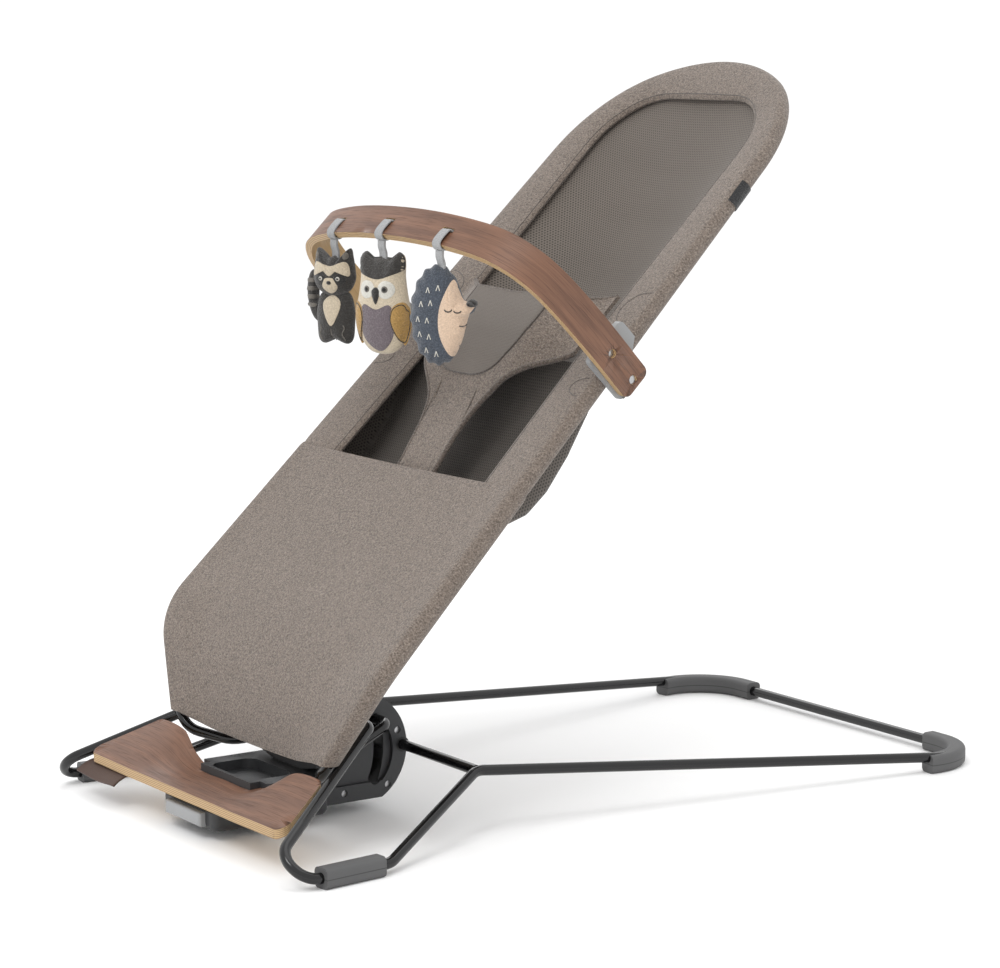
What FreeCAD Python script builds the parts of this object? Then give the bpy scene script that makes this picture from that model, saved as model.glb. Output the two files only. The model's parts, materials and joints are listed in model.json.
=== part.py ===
"""Bouncer seat: a rocking rod base, a hub with a foot pedal, a reclining seat and a toy bar.

Frame: origin on the floor, mid-width and mid-length of the base; +X to the sitter's left,
+Y towards the head end, +Z up. Sizes are in millimetres.
"""

import FreeCAD
import Part
import math
import os

Vec = FreeCAD.Vector

# ---- Rod and base frame ----
ROD_D = 9.5                  # steel rod of the base and the seat frame
ROD_R = ROD_D / 2
FIT = 0.1                    # radial clearance of a rod in a rubber sleeve or a housing
PIVOT_FIT = 0.05             # radial running clearance of the rocking axle and the recline pins
GAP = 0.4                    # clearance between pieces on different bodies

SLEEVE_W = 17.5              # rubber foot sleeve, width and height of its section
REST_Z = SLEEVE_W / 2        # rod centre above the floor inside the rubber sleeves
REAR_Y = 377.8               # rear rail, rod centre
REAR_HALF = 211.9            # half width of the base at the rear rail
REAR_CORNER_R = 54.0         # bend radius of the rear corners
RAIL_SPLIT_X = 143.0         # the rear rail joins the side frames here, inside the rear sleeves
KINK_X = 147.6               # the kink where the side rail turns down to the front foot
KINK_Y = -160.0              # also the rocking axle
KINK_Z = 56.9
KINK_R = 18.0
FOOT_REAR = (208.5, -286.0)  # where the front leg comes down to the front foot (x, y)
FOOT_FRONT = (217.0, -372.0)  # where the rod leaves the front foot (x, y)
FOOT_ENTRY_R = 20.0
FOOT_BEND_R = 20.0
TOE = (195.0, -384.0, 27.0)  # the turn of the front loop, between the foot and the pedal leg
LEG_TOP = (104.0, -240.0, 97.5)  # top of the pedal leg, where the rod turns inwards
LEG_TOP_R = 13.0
LEG_SPLIT = 0.5              # half gap between the two springing legs' ends in the hub
TOE_SPLIT_Y = -353.0         # the side frame and the springing leg meet here, inside the front sleeve

SLEEVE_CORNER = 4.5
FRONT_SLEEVE_Y = (-357.5, -297.0)
BORE_OVER = 0.2              # a bore runs this share of its length past each end
REAR_SLEEVE_X = 134.0        # the corner sleeve starts here on the rear rail
REAR_SLEEVE_Y = 312.0        # and ends here on the side rail

# ---- Hub ----
PLATE_X = 30.0               # outer face of the hub's side plates
PLATE_T = 6.5                # thickness of a side plate
PLATE_RIM = 15.0             # flat rim round the plate's recess
RECESS_DEPTH = 4.0
HUB_FLOOR = 11.8             # underside of the hub
HUB_LOW_Y = -182.0           # the flat underside ends here and the round back starts
HUB_REAR = (-156.0, 61.0)    # rearmost point of the D-shaped plate (y, z)
HUB_TOP = (-182.0, 102.0)    # where the round back meets the top line (y, z)
HUB_TOP_LEAN = 0.4           # how far that point moves forward as the outline is inset
HUB_FRONT_TOP = (-246.0, 107.0)
HUB_FRONT_Y = -246.0
HUB_WALL = 3.0
LEG_BOSS = 4.5               # wall round the springing legs' ends
PLATE_SCREWS = [(-165.4, 70.5), (-175.7, 22.5), (-221.0, 20.0)]
PLATE_SCREW_R = 1.6
PLATE_SCREW_HEAD_R = 3.2
PLATE_SCREW_SINK = 2.4
PLATE_SCREW_LEN = 9.0
RECLINE_Y = -255.0           # the seat's recline axis
RECLINE_Z = 57.5
RECLINE_FOLD = 44.5          # travel of the seat from upright to flat, in degrees
ARM_END = (50.0, -188.0, 83.5)   # where the seat frame's arm turns into the plate's slot
ARM_TIP_X = 24.5             # inner end of the arm, inside the plate's slot
BUSH_WALL = 2.0
BUSH_INNER_X = 4.0
PIN_D = 7.0                  # recline pin
PIN_X = (40.0, 66.0)         # from inside the bracket's bore to the seat's rod
BRACKET_HALF = 51.0          # half width of the hinge bracket
BRACKET_FOOT = 24.0          # half width where it stands on the tray
BRACKET_DEPTH = 14.0         # front to back
BRACKET_RISE = 5.5           # the bracket's ends stand this high above the tray
BRACKET_TOP = 65.5

TRAY_HALF = 56.0
TRAY_FRONT = -352.0
TRAY_TOP = 47.5
TRAY_T = 13.0
TRAY_CORNER = 12.0
POCKET_HALF = 37.0
POCKET_Y = (-321.0, -276.0)
POCKET_DEPTH = 9.0
TONGUE_INSET = 8.0           # the tongue under the pedal is this much narrower than the tray
TONGUE_LOW = 25.5            # underside of the tongue that carries the pedal
BELLY_HALF = 46.0
BELLY_FLOOR = 8.0
BELLY_FRONT = -362.0
BELLY_WALL = 2.5
BELLY_CORNER = 7.0
BUTTON_HALF = 31.0
BUTTON_Z = (11.8, 24.0)
BUTTON_FRONT = -368.0
BUTTON_TRAVEL = 4.5
BUTTON_DEPTH = 16.0
BUTTON_EDGE_R = 2.5
PUSH_R = 3.5
PUSH_SINK = 6.0              # the push rod starts this deep in the button
PUSH_END_Y = -290.0
PUSH_FIT = 0.3
SPRING_LEN = 14.0
SPRING_OUT_R = 5.6
SPRING_IN_R = 4.4
POST_HALF = 12.0
POST_T = 5.0
PEDAL_SCREW_X = (-30.0, 30.0)
PEDAL_SCREW_Y = -338.0
PEDAL_SCREW_R = 2.5
PEDAL_SCREW_HEAD_R = 4.2
PEDAL_SCREW_HEAD_H = 2.0
PEDAL_SCREW_SINK = 2.5

# ---- Foot pedal ----
PEDAL_T = 8.0
PEDAL_FRONT_Y = -370.0
PEDAL_REAR_Y = -311.0
PEDAL_FRONT_HALF = 176.0
PEDAL_REAR_HALF = 142.0
PEDAL_FRONT_Z = 38.9
PEDAL_WING_Z = 66.5          # top of the wings at the rear edge
PEDAL_DISH_Z = 42.1          # top of the middle at the rear edge
PEDAL_DISH_HALF = 44.0
PEDAL_WING_IN = 104.0
PEDAL_WING_BLEND = (8.0, 30.0)   # the wing's rear edge eases into the middle over this range of x
PEDAL_STATIONS = 4           # steps that the rise between dish and wing is drawn in
PEDAL_OVER = 8.0             # the board is bent this much larger, then cut to its outline
PEDAL_CORNER = 9.0
PEDAL_EDGE_R = 12.0
PEDAL_NOTCH_R = 2.0
PEDAL_STEP = 4.0             # the middle's rear edge is this far in front of the wings'
PEDAL_NOTCH_Y = -325.0       # rear edge of the middle, in front of the tray
TAB_X = (-176.0, -104.0)     # leather pull tab under the pedal
TAB_T = 2.5
TAB_LINE = [(-350.0, 2.0), (-366.0, 0.0), (-380.0, -8.5)]   # its run (y, height from its fixing)

# ---- Seat frame ----
SEAT_ANGLE = 44.5            # slope of the seat above the floor when upright
SEAT_TOP_Y = 224.5           # top of the seat frame, rod centre
SEAT_TOP_Z = 651.3
HEEL_R = 170.0               # radius of the lower bend of the seat, seen from the side
HEEL_Y = -293.0              # foremost point of that bend
WIDE_HALF = 179.5            # half width of the seat frame where the flat part starts
NARROW_HALF = 150.0          # half width below the rounded top
NARROW_RUN = 8.0             # the straight rail ends this far above the narrow width's line
TOP_ARC_R = 200.0
TOP_CORNER_R = 115.0
HEEL_TURN_S = -52.0          # where the straight rail's line meets the lower bend, along the seat
HOOK_LOW = (120.0, -301.0, 62.5)
HOOK_IN = (72.0, -271.0, 54.0)
LOW_RADII = [12.0, 34.0, 30.0, 70.0]   # the bends from the arm's tip up to the straight rail
COVERED_FROM = 6             # the fabric starts at this run of the seat frame's path

# ---- Fabric ----
COVER_WALL = 3.2             # fabric and binding round the rod
CLOTH_T = 4.0                # the padded fabric of the front panel and the border
HEM_S = -134.0               # lower hem of the front panel, along the seat
LEG_S = 153.0                # lower edge of the leg openings
OPENING = [(122.0, 153.0), (114.0, 300.0), (115.0, 548.0)]   # inner edge of the border (x, s)
OPENING_TOP_S = 617.0
OPENING_CORNER_R = 66.0
MESH_T = 3.0
MESH_LAP = 8.0               # the mesh runs this far under the border
MESH_BOTTOM_S = 300.0
POUCH_HALF = 146.0
POUCH_T = 3.0
POUCH = [(298.0, -2.5), (260.0, -21.0), (218.0, -34.0), (182.0, -40.0), (155.0, -38.0),
         (137.0, -28.0), (127.0, -14.0), (122.0, -2.5)]      # the sling's run (s, n)
BIB_T = 4.0
BIB_RUN = [(140.0, -7.0), (175.0, 2.0), (215.0, 14.0), (255.0, 21.5), (300.0, 24.5), (346.0, 25.0)]
BIB_SIDE = [(28.0, 138.0), (29.0, 165.0), (34.0, 190.0), (44.0, 213.0), (58.0, 236.0), (76.0, 256.0)]
BIB_HALF = 76.0
BIB_TOP_S = 345.0
BIB_MESH = [(-60.0, 350.0), (-58.0, 300.0), (-28.0, 252.0), (28.0, 252.0), (58.0, 300.0), (60.0, 350.0)]
ARM_ROOT = (76.0, 257.0, 345.0)     # the harness arm's root (x, low s, high s)
ARM_TIE = (113.0, 300.0, 366.0)     # and its sewn end on the border
ARM_TIE_N = 3.0              # height of that end off the seat
LABEL_S = (488.0, 514.0)
LABEL_T = 0.8
TOGGLE_S = 325.0
TOGGLE_X = 148.0
TOGGLE_R = 5.0
TOGGLE_LEN = 14.0

# ---- Toy bar ----
BAR_S = 296.0                # middle of the bar's width, along the seat
BAR_W = 33.0
BAR_T = 7.0
BAR_OUTER = [(184.0, -22.0), (187.0, 30.0), (186.0, 85.0), (176.0, 124.0), (151.0, 149.0),
             (112.0, 162.0), (60.0, 169.5), (0.0, 172.0)]    # outer face of the bar (x, n)
BAR_END_R = 7.0
BAR_SCREW_N = (-14.0, 20.0)
BAR_SCREW_R = 2.0
BAR_SCREW_HEAD_R = 4.0
BAR_SCREW_SINK = 2.6
CLAMP_S = (277.0, 326.0)
CLAMP_N = (-22.0, 30.0)
CLAMP_CORNER = 5.0
CLAMP_NOTCH = [(312.5, -23.0), (312.5, -2.0), (327.0, 8.8), (327.0, -23.0)]   # cut corner, as (s, n)
SLOT_X = 87.0                # outer toy slots from the middle one
SLOT_LEN = 15.0
SLOT_W = 4.5
STRAP_W = 12.0
STRAP_T = 1.6
STRAP_DROP = 12.0            # the toy's pivot below the bar's lower edge
TOY_CLEAR = 0.9              # the toy hangs this far below the webbing, so it can swing
TOY_X = {"raccoon": -SLOT_X, "owl": 0.0, "hedgehog": SLOT_X}
TOY_YAW = {"raccoon": 30.0, "owl": 27.0, "hedgehog": 45.0}   # how far each toy has turned
# Each toy's stuffed lobes, below its hanging point: (centre, half sizes)
TOY_LOBES = {
    "raccoon": [
        ((0, 0, -56), (19, 12, 27)),    # body
        ((0, 0, -20), (20, 13, 18)),    # head
        ((-14, 1, -7), (6, 4, 8)),      # ears
        ((14, 1, -7), (6, 4, 8)),
        ((0, 0, -4), (8, 4, 4)),        # tab under the webbing
        ((-24, 4, -44), (7, 6, 26)),    # tail
        ((-14, 3, -62), (12, 6, 7)),    # the tail's root
    ],
    "owl": [
        ((0, 0, -54), (26, 15, 33)),    # body
        ((0, 0, -22), (23, 14, 20)),    # head
        ((-15, 0, -8), (6, 5, 8)),      # ear tufts
        ((15, 0, -8), (6, 5, 8)),
        ((0, 0, -4), (9, 4, 4)),        # tab under the webbing
    ],
    "hedgehog": [
        ((-4, 0, -46), (22, 14, 42)),   # back
        ((7, 0, -50), (18, 12, 30)),    # face
        ((22, 0, -36), (7, 6, 6)),      # nose
        ((-2, 0, -4), (9, 4, 4)),       # tab under the webbing
    ],
}

A = math.radians(SEAT_ANGLE)
UP = Vec(0, math.cos(A), math.sin(A))          # along the seat, towards the head
OUT = Vec(0, -math.sin(A), math.cos(A))        # off the seat, towards the sitter
HEEL_C = Vec(0, HEEL_Y + HEEL_R, 0)
FLAT = Vec(0, HEEL_C.y - HEEL_R * math.sin(A), 0)
FLAT.z = SEAT_TOP_Z + (FLAT.y - SEAT_TOP_Y) * math.tan(A)
HEEL_C.z = FLAT.z - HEEL_R * math.cos(A)
SEAT_LEN = (SEAT_TOP_Y - FLAT.y) / math.cos(A)
SEAT_BACK_Y = 400.0          # a plane behind the whole seat
SIDE_POINTS = 60             # points that follow each side of the seat frame's outline
TOP_POINTS = 24              # and its rounded top
CORNER_STEPS = 8             # straight steps in each upper corner of the border's opening
ALONG = 0.9                  # an edge whose direction is this close to an axis runs along it
NO_LENGTH = 1e-6             # a run shorter than this is left out

NODES = {}


# ---- Helpers ----
def keep(name, shape):
    """Files a finished piece under its node's name."""
    NODES[name] = shape


def mirror(shape):
    """The same shape on the other side of the object."""
    return shape.mirror(Vec(0, 0, 0), Vec(1, 0, 0))


def plane(x, s, n=0.0):
    """A point of the seat's flat plane, which also runs on past the lower bend."""
    return Vec(x, 0, 0) + FLAT + UP * s + OUT * n


def seat(x, s, n=0.0):
    """A point of the seat: x across, s along its slope and n off it."""
    if s >= 0:
        return plane(x, s, n)
    turn = A - s / HEEL_R
    out = Vec(0, -math.sin(turn), math.cos(turn))
    return Vec(x, 0, 0) + HEEL_C + out * (HEEL_R + n)


def rounded(points, radii):
    """A wire of straight runs through the points, with an arc of the given radius at each turn."""
    points = [Vec(*p) for p in points]
    edges = []
    start = points[0]
    for before, corner, after, radius in zip(points, points[1:], points[2:], radii):
        to_before = (before - corner).normalize()
        to_after = (after - corner).normalize()
        half = to_before.getAngle(to_after) / 2
        reach = radius / math.tan(half)
        first = corner + to_before * reach
        last = corner + to_after * reach
        inward = (to_before + to_after).normalize()
        middle = corner + inward * (radius / math.sin(half) - radius)
        if (first - start).Length > NO_LENGTH:
            edges.append(Part.makeLine(start, first))
        edges.append(Part.Arc(first, middle, last).toShape())
        start = last
    edges.append(Part.makeLine(start, points[-1]))
    return Part.Wire(edges)


def closed(points, radii=None):
    """A closed outline through the points, with rounded corners where a radius is given."""
    if radii is None:
        return Part.makePolygon([Vec(*p) for p in points] + [Vec(*points[0])])
    first = (Vec(*points[0]) + Vec(*points[-1])) * 0.5
    ring = [first] + [Vec(*p) for p in points] + [first]
    return rounded([tuple(p) for p in ring], radii)


def disc(centre, axis, radius):
    """A round face."""
    return Part.Face(Part.Wire(Part.makeCircle(radius, centre, axis)))


def rod(path, radius):
    """A round rod whose centre follows the path: a cylinder for each run, a torus piece for each arc."""
    runs = []
    for edge in path.Edges:
        start = edge.valueAt(edge.FirstParameter)
        if edge.Curve.TypeId == "Part::GeomLine":
            runs.append(rod_between(tuple(start), tuple(edge.valueAt(edge.LastParameter)), radius))
            continue
        circle = edge.Curve
        face = disc(start, edge.tangentAt(edge.FirstParameter), radius)
        turn = math.degrees(edge.LastParameter - edge.FirstParameter)
        runs.append(face.revolve(circle.Center, circle.Axis, turn))
    return fuse(runs)


def rod_between(a, b, radius):
    """A straight rod from point a to point b."""
    a = Vec(*a)
    b = Vec(*b)
    return Part.makeCylinder(radius, (b - a).Length, a, b - a)


def block(x, y, z):
    """A box from its three (low, high) ranges."""
    corner = Vec(x[0], y[0], z[0])
    return Part.makeBox(x[1] - x[0], y[1] - y[0], z[1] - z[0], corner)


def side_prism(outline, x_low, x_high):
    """A prism between two x values, from an outline drawn in the (y, z) plane."""
    face = Part.Face(outline)
    face.translate(Vec(x_low, 0, 0))
    return face.extrude(Vec(x_high - x_low, 0, 0))


def fuse(shapes):
    """One shape from several that touch or overlap."""
    whole = shapes[0].multiFuse(shapes[1:]) if len(shapes) > 1 else shapes[0]
    return whole.removeSplitter()


def group(shapes):
    """Several separate solids in one node."""
    return Part.makeCompound(shapes)


# ---- Base frame ----
def foot_x(y):
    """Where the rod in the front foot lies across the base, at this y."""
    lean = (FOOT_REAR[0] - FOOT_FRONT[0]) / (FOOT_REAR[1] - FOOT_FRONT[1])
    return FOOT_FRONT[0] + lean * (y - FOOT_FRONT[1])


def side_path():
    """The centre line of one side of the base, from the rear corner to the front foot."""
    return rounded(
        [
            (RAIL_SPLIT_X, REAR_Y, REST_Z),
            (REAR_HALF, REAR_Y, REST_Z),
            (KINK_X, KINK_Y, KINK_Z),
            (*FOOT_REAR, REST_Z),
            (foot_x(TOE_SPLIT_Y), TOE_SPLIT_Y, REST_Z),
        ],
        [REAR_CORNER_R, KINK_R, FOOT_ENTRY_R],
    )


def spring_path():
    """The centre line of one springing leg, from inside the foot to inside the hub."""
    return rounded(
        [
            (foot_x(TOE_SPLIT_Y - GAP), TOE_SPLIT_Y - GAP, REST_Z),
            (*FOOT_FRONT, REST_Z),
            TOE,
            LEG_TOP,
            (LEG_SPLIT, LEG_TOP[1], LEG_TOP[2]),
        ],
        [FOOT_BEND_R, FOOT_BEND_R, LEG_TOP_R],
    )


def make_base():
    """The rods that stand on the floor."""
    side = rod(side_path(), ROD_R)
    keep("side_frame_left", side)
    keep("side_frame_right", mirror(side))
    half = RAIL_SPLIT_X
    keep("rear_rail", rod_between((-half, REAR_Y, REST_Z), (half, REAR_Y, REST_Z), ROD_R))
    cross = rod_between((-KINK_X, KINK_Y, KINK_Z), (KINK_X, KINK_Y, KINK_Z), ROD_R)
    keep("cross_rod", largest(cross.cut(side).cut(mirror(side))))
    leg = rod(spring_path(), ROD_R)
    keep("spring_leg_left", leg)
    keep("spring_leg_right", mirror(leg))


def largest(shape):
    """The biggest solid of a shape that a cut has left in pieces."""
    return max(shape.Solids, key=lambda s: s.Volume)


def sleeve_section(centre, along):
    """The rounded-square section of a rubber sleeve, square to the rod's direction."""
    across = along.cross(Vec(0, 0, 1)).normalize()
    high = Vec(0, 0, SLEEVE_W / 2)
    wide = across * (SLEEVE_W / 2)
    ring = [centre + wide - high, centre + wide + high, centre - wide + high, centre - wide - high]
    return Part.Face(closed([tuple(p) for p in ring], [SLEEVE_CORNER] * len(ring)))


def sleeve(path, bore_path):
    """A rubber sleeve along a level path, bored for the rod."""
    runs = []
    for edge in path.OrderedEdges:
        start = edge.valueAt(edge.FirstParameter)
        section = sleeve_section(start, edge.tangentAt(edge.FirstParameter))
        if edge.Curve.TypeId == "Part::GeomLine":
            runs.append(section.extrude(edge.valueAt(edge.LastParameter) - start))
            continue
        turn = math.degrees(edge.LastParameter - edge.FirstParameter)
        runs.append(section.revolve(edge.Curve.Center, edge.Curve.Axis, turn))
    return fuse(runs).cut(rod(bore_path, ROD_R + FIT))


def make_sleeves():
    """The four rubber feet on the rods."""
    low, high = FRONT_SLEEVE_Y
    start = Vec(foot_x(low), low, REST_Z)
    end = Vec(foot_x(high), high, REST_Z)
    over = (end - start) * BORE_OVER
    line = Part.makeLine(start, end)
    bore_line = Part.makeLine(start - over, end + over)
    front = sleeve(Part.Wire([line]), Part.Wire([bore_line]))
    keep("front_sleeve_left", front)
    keep("front_sleeve_right", mirror(front))
    corner = Vec(REAR_HALF, REAR_Y, REST_Z)
    toward = Vec(KINK_X - REAR_HALF, KINK_Y - REAR_Y, KINK_Z - REST_Z)
    share = (REAR_SLEEVE_Y - REAR_Y) / toward.y
    tail = corner + Vec(toward.x, toward.y, 0) * share
    path = rounded([(REAR_SLEEVE_X, REAR_Y, REST_Z), tuple(corner), tuple(tail)], [REAR_CORNER_R])
    rise = corner + toward * (2 * share)
    bore = rounded([(0, REAR_Y, REST_Z), tuple(corner), tuple(rise)], [REAR_CORNER_R])
    rear = sleeve(path, bore)
    keep("rear_sleeve_left", rear)
    keep("rear_sleeve_right", mirror(rear))


# ---- Hub ----
def hub_outline(inset=0.0):
    """The D-shaped side outline of the hub, drawn in the (y, z) plane."""
    low = HUB_FLOOR + inset
    front = Vec(0, HUB_FRONT_Y + inset, low)
    heel = Vec(0, HUB_LOW_Y, low)
    back = Vec(0, HUB_REAR[0] - inset, HUB_REAR[1])
    top = Vec(0, HUB_TOP[0] - inset * HUB_TOP_LEAN, HUB_TOP[1] - inset)
    brow = Vec(0, HUB_FRONT_TOP[0] + inset, HUB_FRONT_TOP[1] - inset)
    edges = [
        Part.makeLine(front, heel),
        Part.Arc(heel, back, top).toShape(),
        Part.makeLine(top, brow),
        Part.makeLine(brow, front),
    ]
    return Part.Wire(edges)


def across(y, z, x_low, x_high, radius):
    """A round rod across the object, between two x values."""
    return rod_between((x_low, y, z), (x_high, y, z), radius)


def make_hub():
    """The hub's housing and its two side plates."""
    inner = PLATE_X - PLATE_T
    core = side_prism(hub_outline(), -inner, inner)
    core = core.cut(side_prism(hub_outline(HUB_WALL), -inner - 1, inner + 1))
    leg_y, leg_z = LEG_TOP[1], LEG_TOP[2]
    boss = across(leg_y, leg_z, -inner, inner, ROD_R + LEG_BOSS)
    web_z = (HUB_FLOOR, KINK_Z)
    web = block((-inner, inner), (KINK_Y - HUB_WALL, KINK_Y + HUB_WALL), web_z)
    bearing = across(KINK_Y, KINK_Z, -inner, inner, ROD_R + BUSH_WALL + HUB_WALL)
    inside = side_prism(hub_outline(), -inner, inner)
    core = fuse([core, fuse([boss, web, bearing]).common(inside)])
    leg_bore = across(leg_y, leg_z, -PLATE_X - 1, PLATE_X + 1, ROD_R)
    axle_bore = across(KINK_Y, KINK_Z, -PLATE_X - 1, PLATE_X + 1, ROD_R + BUSH_WALL)
    core = core.cut(leg_bore).cut(axle_bore)
    plate = side_prism(hub_outline(), inner, PLATE_X)
    plate = plate.cut(side_prism(hub_outline(PLATE_RIM), PLATE_X - RECESS_DEPTH, PLATE_X + 1))
    plate = plate.cut(leg_bore).cut(axle_bore).cut(arc_slot(inner - 1, PLATE_X + 1))
    screws = []
    for y, z in PLATE_SCREWS:
        seat_x = PLATE_X - PLATE_SCREW_SINK
        screw = fuse([
            across(y, z, PLATE_X - PLATE_SCREW_LEN, seat_x, PLATE_SCREW_R),
            across(y, z, seat_x - 1, seat_x, PLATE_SCREW_HEAD_R),
        ])
        hole = across(y, z, seat_x - 1, PLATE_X + 1, PLATE_SCREW_HEAD_R)
        plate = plate.cut(hole).cut(screw)
        core = core.cut(screw).cut(mirror(screw))
        screws.append(screw)
    core = core.cut(arc_slot(inner - 3, inner + 1)).cut(arc_slot(-inner - 1, 3 - inner))
    keep("hub_core", core)
    keep("side_plate_left", plate)
    keep("side_plate_right", mirror(plate))
    keep("plate_screws_left", group(screws))
    keep("plate_screws_right", mirror(group(screws)))
    bush = across(KINK_Y, KINK_Z, BUSH_INNER_X, PLATE_X, ROD_R + BUSH_WALL)
    bush = bush.cut(across(KINK_Y, KINK_Z, 0, PLATE_X + 1, ROD_R + PIVOT_FIT))
    keep("axle_bush_left", bush)
    keep("axle_bush_right", mirror(bush))


def arc_slot(x_low, x_high):
    """The slot that the end of the seat's arm travels in, round the recline axis."""
    centre = Vec(x_low, RECLINE_Y, RECLINE_Z)
    arm = Vec(0, ARM_END[1] - RECLINE_Y, ARM_END[2] - RECLINE_Z)
    reach = arm.Length
    top = math.atan2(arm.z, arm.y)
    low = top - math.radians(RECLINE_FOLD)
    half = ROD_R + GAP
    depth = x_high - x_low
    outer = Part.makeCylinder(reach + half, depth, centre, Vec(1, 0, 0))
    ring = outer.cut(Part.makeCylinder(reach - half, depth, centre, Vec(1, 0, 0)))
    far = 3 * reach
    corners = [centre + Vec(0, far * math.cos(a), far * math.sin(a)) for a in (low, top)]
    wedge = Part.makePolygon([centre] + corners + [centre])
    slot = ring.common(Part.Face(wedge).extrude(Vec(depth, 0, 0)))
    ends = []
    for angle in (top, low):
        y = RECLINE_Y + reach * math.cos(angle)
        z = RECLINE_Z + reach * math.sin(angle)
        ends.append(across(y, z, x_low, x_high, half))
    return fuse([slot] + ends)


def make_bracket():
    """The flared hinge bracket on the rear of the tray, bored for the recline pins."""
    y_low = RECLINE_Y - BRACKET_DEPTH / 2
    wing_z = TRAY_TOP + BRACKET_RISE
    ring = [
        (-BRACKET_FOOT, y_low, TRAY_TOP), (BRACKET_FOOT, y_low, TRAY_TOP),
        (BRACKET_HALF, y_low, wing_z), (BRACKET_HALF, y_low, BRACKET_TOP),
        (-BRACKET_HALF, y_low, BRACKET_TOP), (-BRACKET_HALF, y_low, wing_z),
    ]
    bar = Part.Face(closed(ring)).extrude(Vec(0, BRACKET_DEPTH, 0))
    outer = BRACKET_HALF + 1
    for side in (-1, 1):
        bore = across(RECLINE_Y, RECLINE_Z, PIN_X[0] - GAP, outer, PIN_D / 2 + PIVOT_FIT)
        bar = bar.cut(bore if side > 0 else mirror(bore))
    keep("hinge_bracket", bar)


def lower_edges(box):
    """The upright edges of a box and the edges round its underside."""
    low = box.BoundBox.ZMin + 1
    return [e for e in box.Edges if e.BoundBox.ZMax < low or abs(e.tangentAt(0).z) > ALONG]


def upright_edges(box):
    """The edges of a shape that run straight up."""
    return [e for e in box.Edges if abs(e.tangentAt(e.FirstParameter).z) > ALONG]


def make_tray():
    """The tray in front of the hub and the tongue of it that carries the pedal."""
    low_z = TRAY_TOP - TRAY_T
    deck = block((-TRAY_HALF, TRAY_HALF), (PEDAL_NOTCH_Y + GAP, HUB_FRONT_Y), (low_z, TRAY_TOP))
    for side in (-1, 1):
        x = sorted([side * (PEDAL_DISH_HALF - GAP), side * (TRAY_HALF + 1)])
        deck = deck.cut(block(x, (PEDAL_NOTCH_Y, PEDAL_REAR_Y - PEDAL_STEP + GAP), (0, TRAY_TOP + 1)))
    half = TRAY_HALF - TONGUE_INSET
    tongue = block((-half, half), (TRAY_FRONT, HUB_FRONT_Y), (TONGUE_LOW, low_z + 2))
    deck = largest(fuse([deck, tongue]).cut(NODES["foot_pedal"]))
    pocket = block((-POCKET_HALF, POCKET_HALF), POCKET_Y, (TRAY_TOP - POCKET_DEPTH, TRAY_TOP + 1))
    deck = deck.cut(pocket.makeFillet(TRAY_CORNER, upright_edges(pocket)))
    keep("tray", deck.cut(NODES["pedal_screws"]))


def make_belly():
    """The housing under the tray, with the release button, its rod, its spring and their post."""
    top = TONGUE_LOW
    shell = block((-BELLY_HALF, BELLY_HALF), (BELLY_FRONT, HUB_FRONT_Y), (BELLY_FLOOR, top))
    shell = shell.makeFillet(BELLY_CORNER, lower_edges(shell))
    hollow = block(
        (-BELLY_HALF + BELLY_WALL, BELLY_HALF - BELLY_WALL),
        (BELLY_FRONT + BELLY_WALL, HUB_FRONT_Y - BELLY_WALL),
        (BELLY_FLOOR + BELLY_WALL, top + BELLY_WALL),
    )
    hollow = hollow.makeFillet(BELLY_CORNER - BELLY_WALL, lower_edges(hollow))
    back = BUTTON_FRONT + BUTTON_DEPTH
    mouth = block(
        (-BUTTON_HALF - GAP, BUTTON_HALF + GAP),
        (BELLY_FRONT - 1, back + BUTTON_TRAVEL + GAP),
        (BUTTON_Z[0] - GAP, BUTTON_Z[1] + GAP),
    )
    keep("belly", shell.cut(hollow).cut(mouth))
    cap = block((-BUTTON_HALF, BUTTON_HALF), (BUTTON_FRONT, back), BUTTON_Z)
    cap = cap.makeFillet(BUTTON_EDGE_R, [e for e in cap.Edges if e.BoundBox.YMax < BUTTON_FRONT + 1])
    middle = sum(BUTTON_Z) / 2
    push = rod_between((0, BUTTON_FRONT + PUSH_SINK, middle), (0, PUSH_END_Y, middle), PUSH_R)
    keep("release_button", cap.cut(push))
    keep("push_rod", push)
    seat_y = back + SPRING_LEN
    coil = rod_between((0, back, middle), (0, seat_y, middle), SPRING_OUT_R)
    keep("button_spring", coil.cut(rod_between((0, back - 1, middle), (0, seat_y + 1, middle), SPRING_IN_R)))
    post = block((-POST_HALF, POST_HALF), (seat_y, seat_y + POST_T), (BELLY_FLOOR + BELLY_WALL, top))
    bore = rod_between((0, seat_y - 1, middle), (0, seat_y + POST_T + 1, middle), PUSH_R + PUSH_FIT)
    keep("spring_post", post.cut(bore))


def pedal_z(x, y):
    """Height of the pedal's top face."""
    x = abs(x)
    t = min(max((x - PEDAL_DISH_HALF) / (PEDAL_WING_IN - PEDAL_DISH_HALF), 0), 1)
    ease = t * t * (3 - 2 * t)
    rear = PEDAL_DISH_Z + (PEDAL_WING_Z - PEDAL_DISH_Z) * ease
    share = (y - PEDAL_FRONT_Y) / (PEDAL_REAR_Y - PEDAL_FRONT_Y)
    return PEDAL_FRONT_Z + (rear - PEDAL_FRONT_Z) * share


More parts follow.
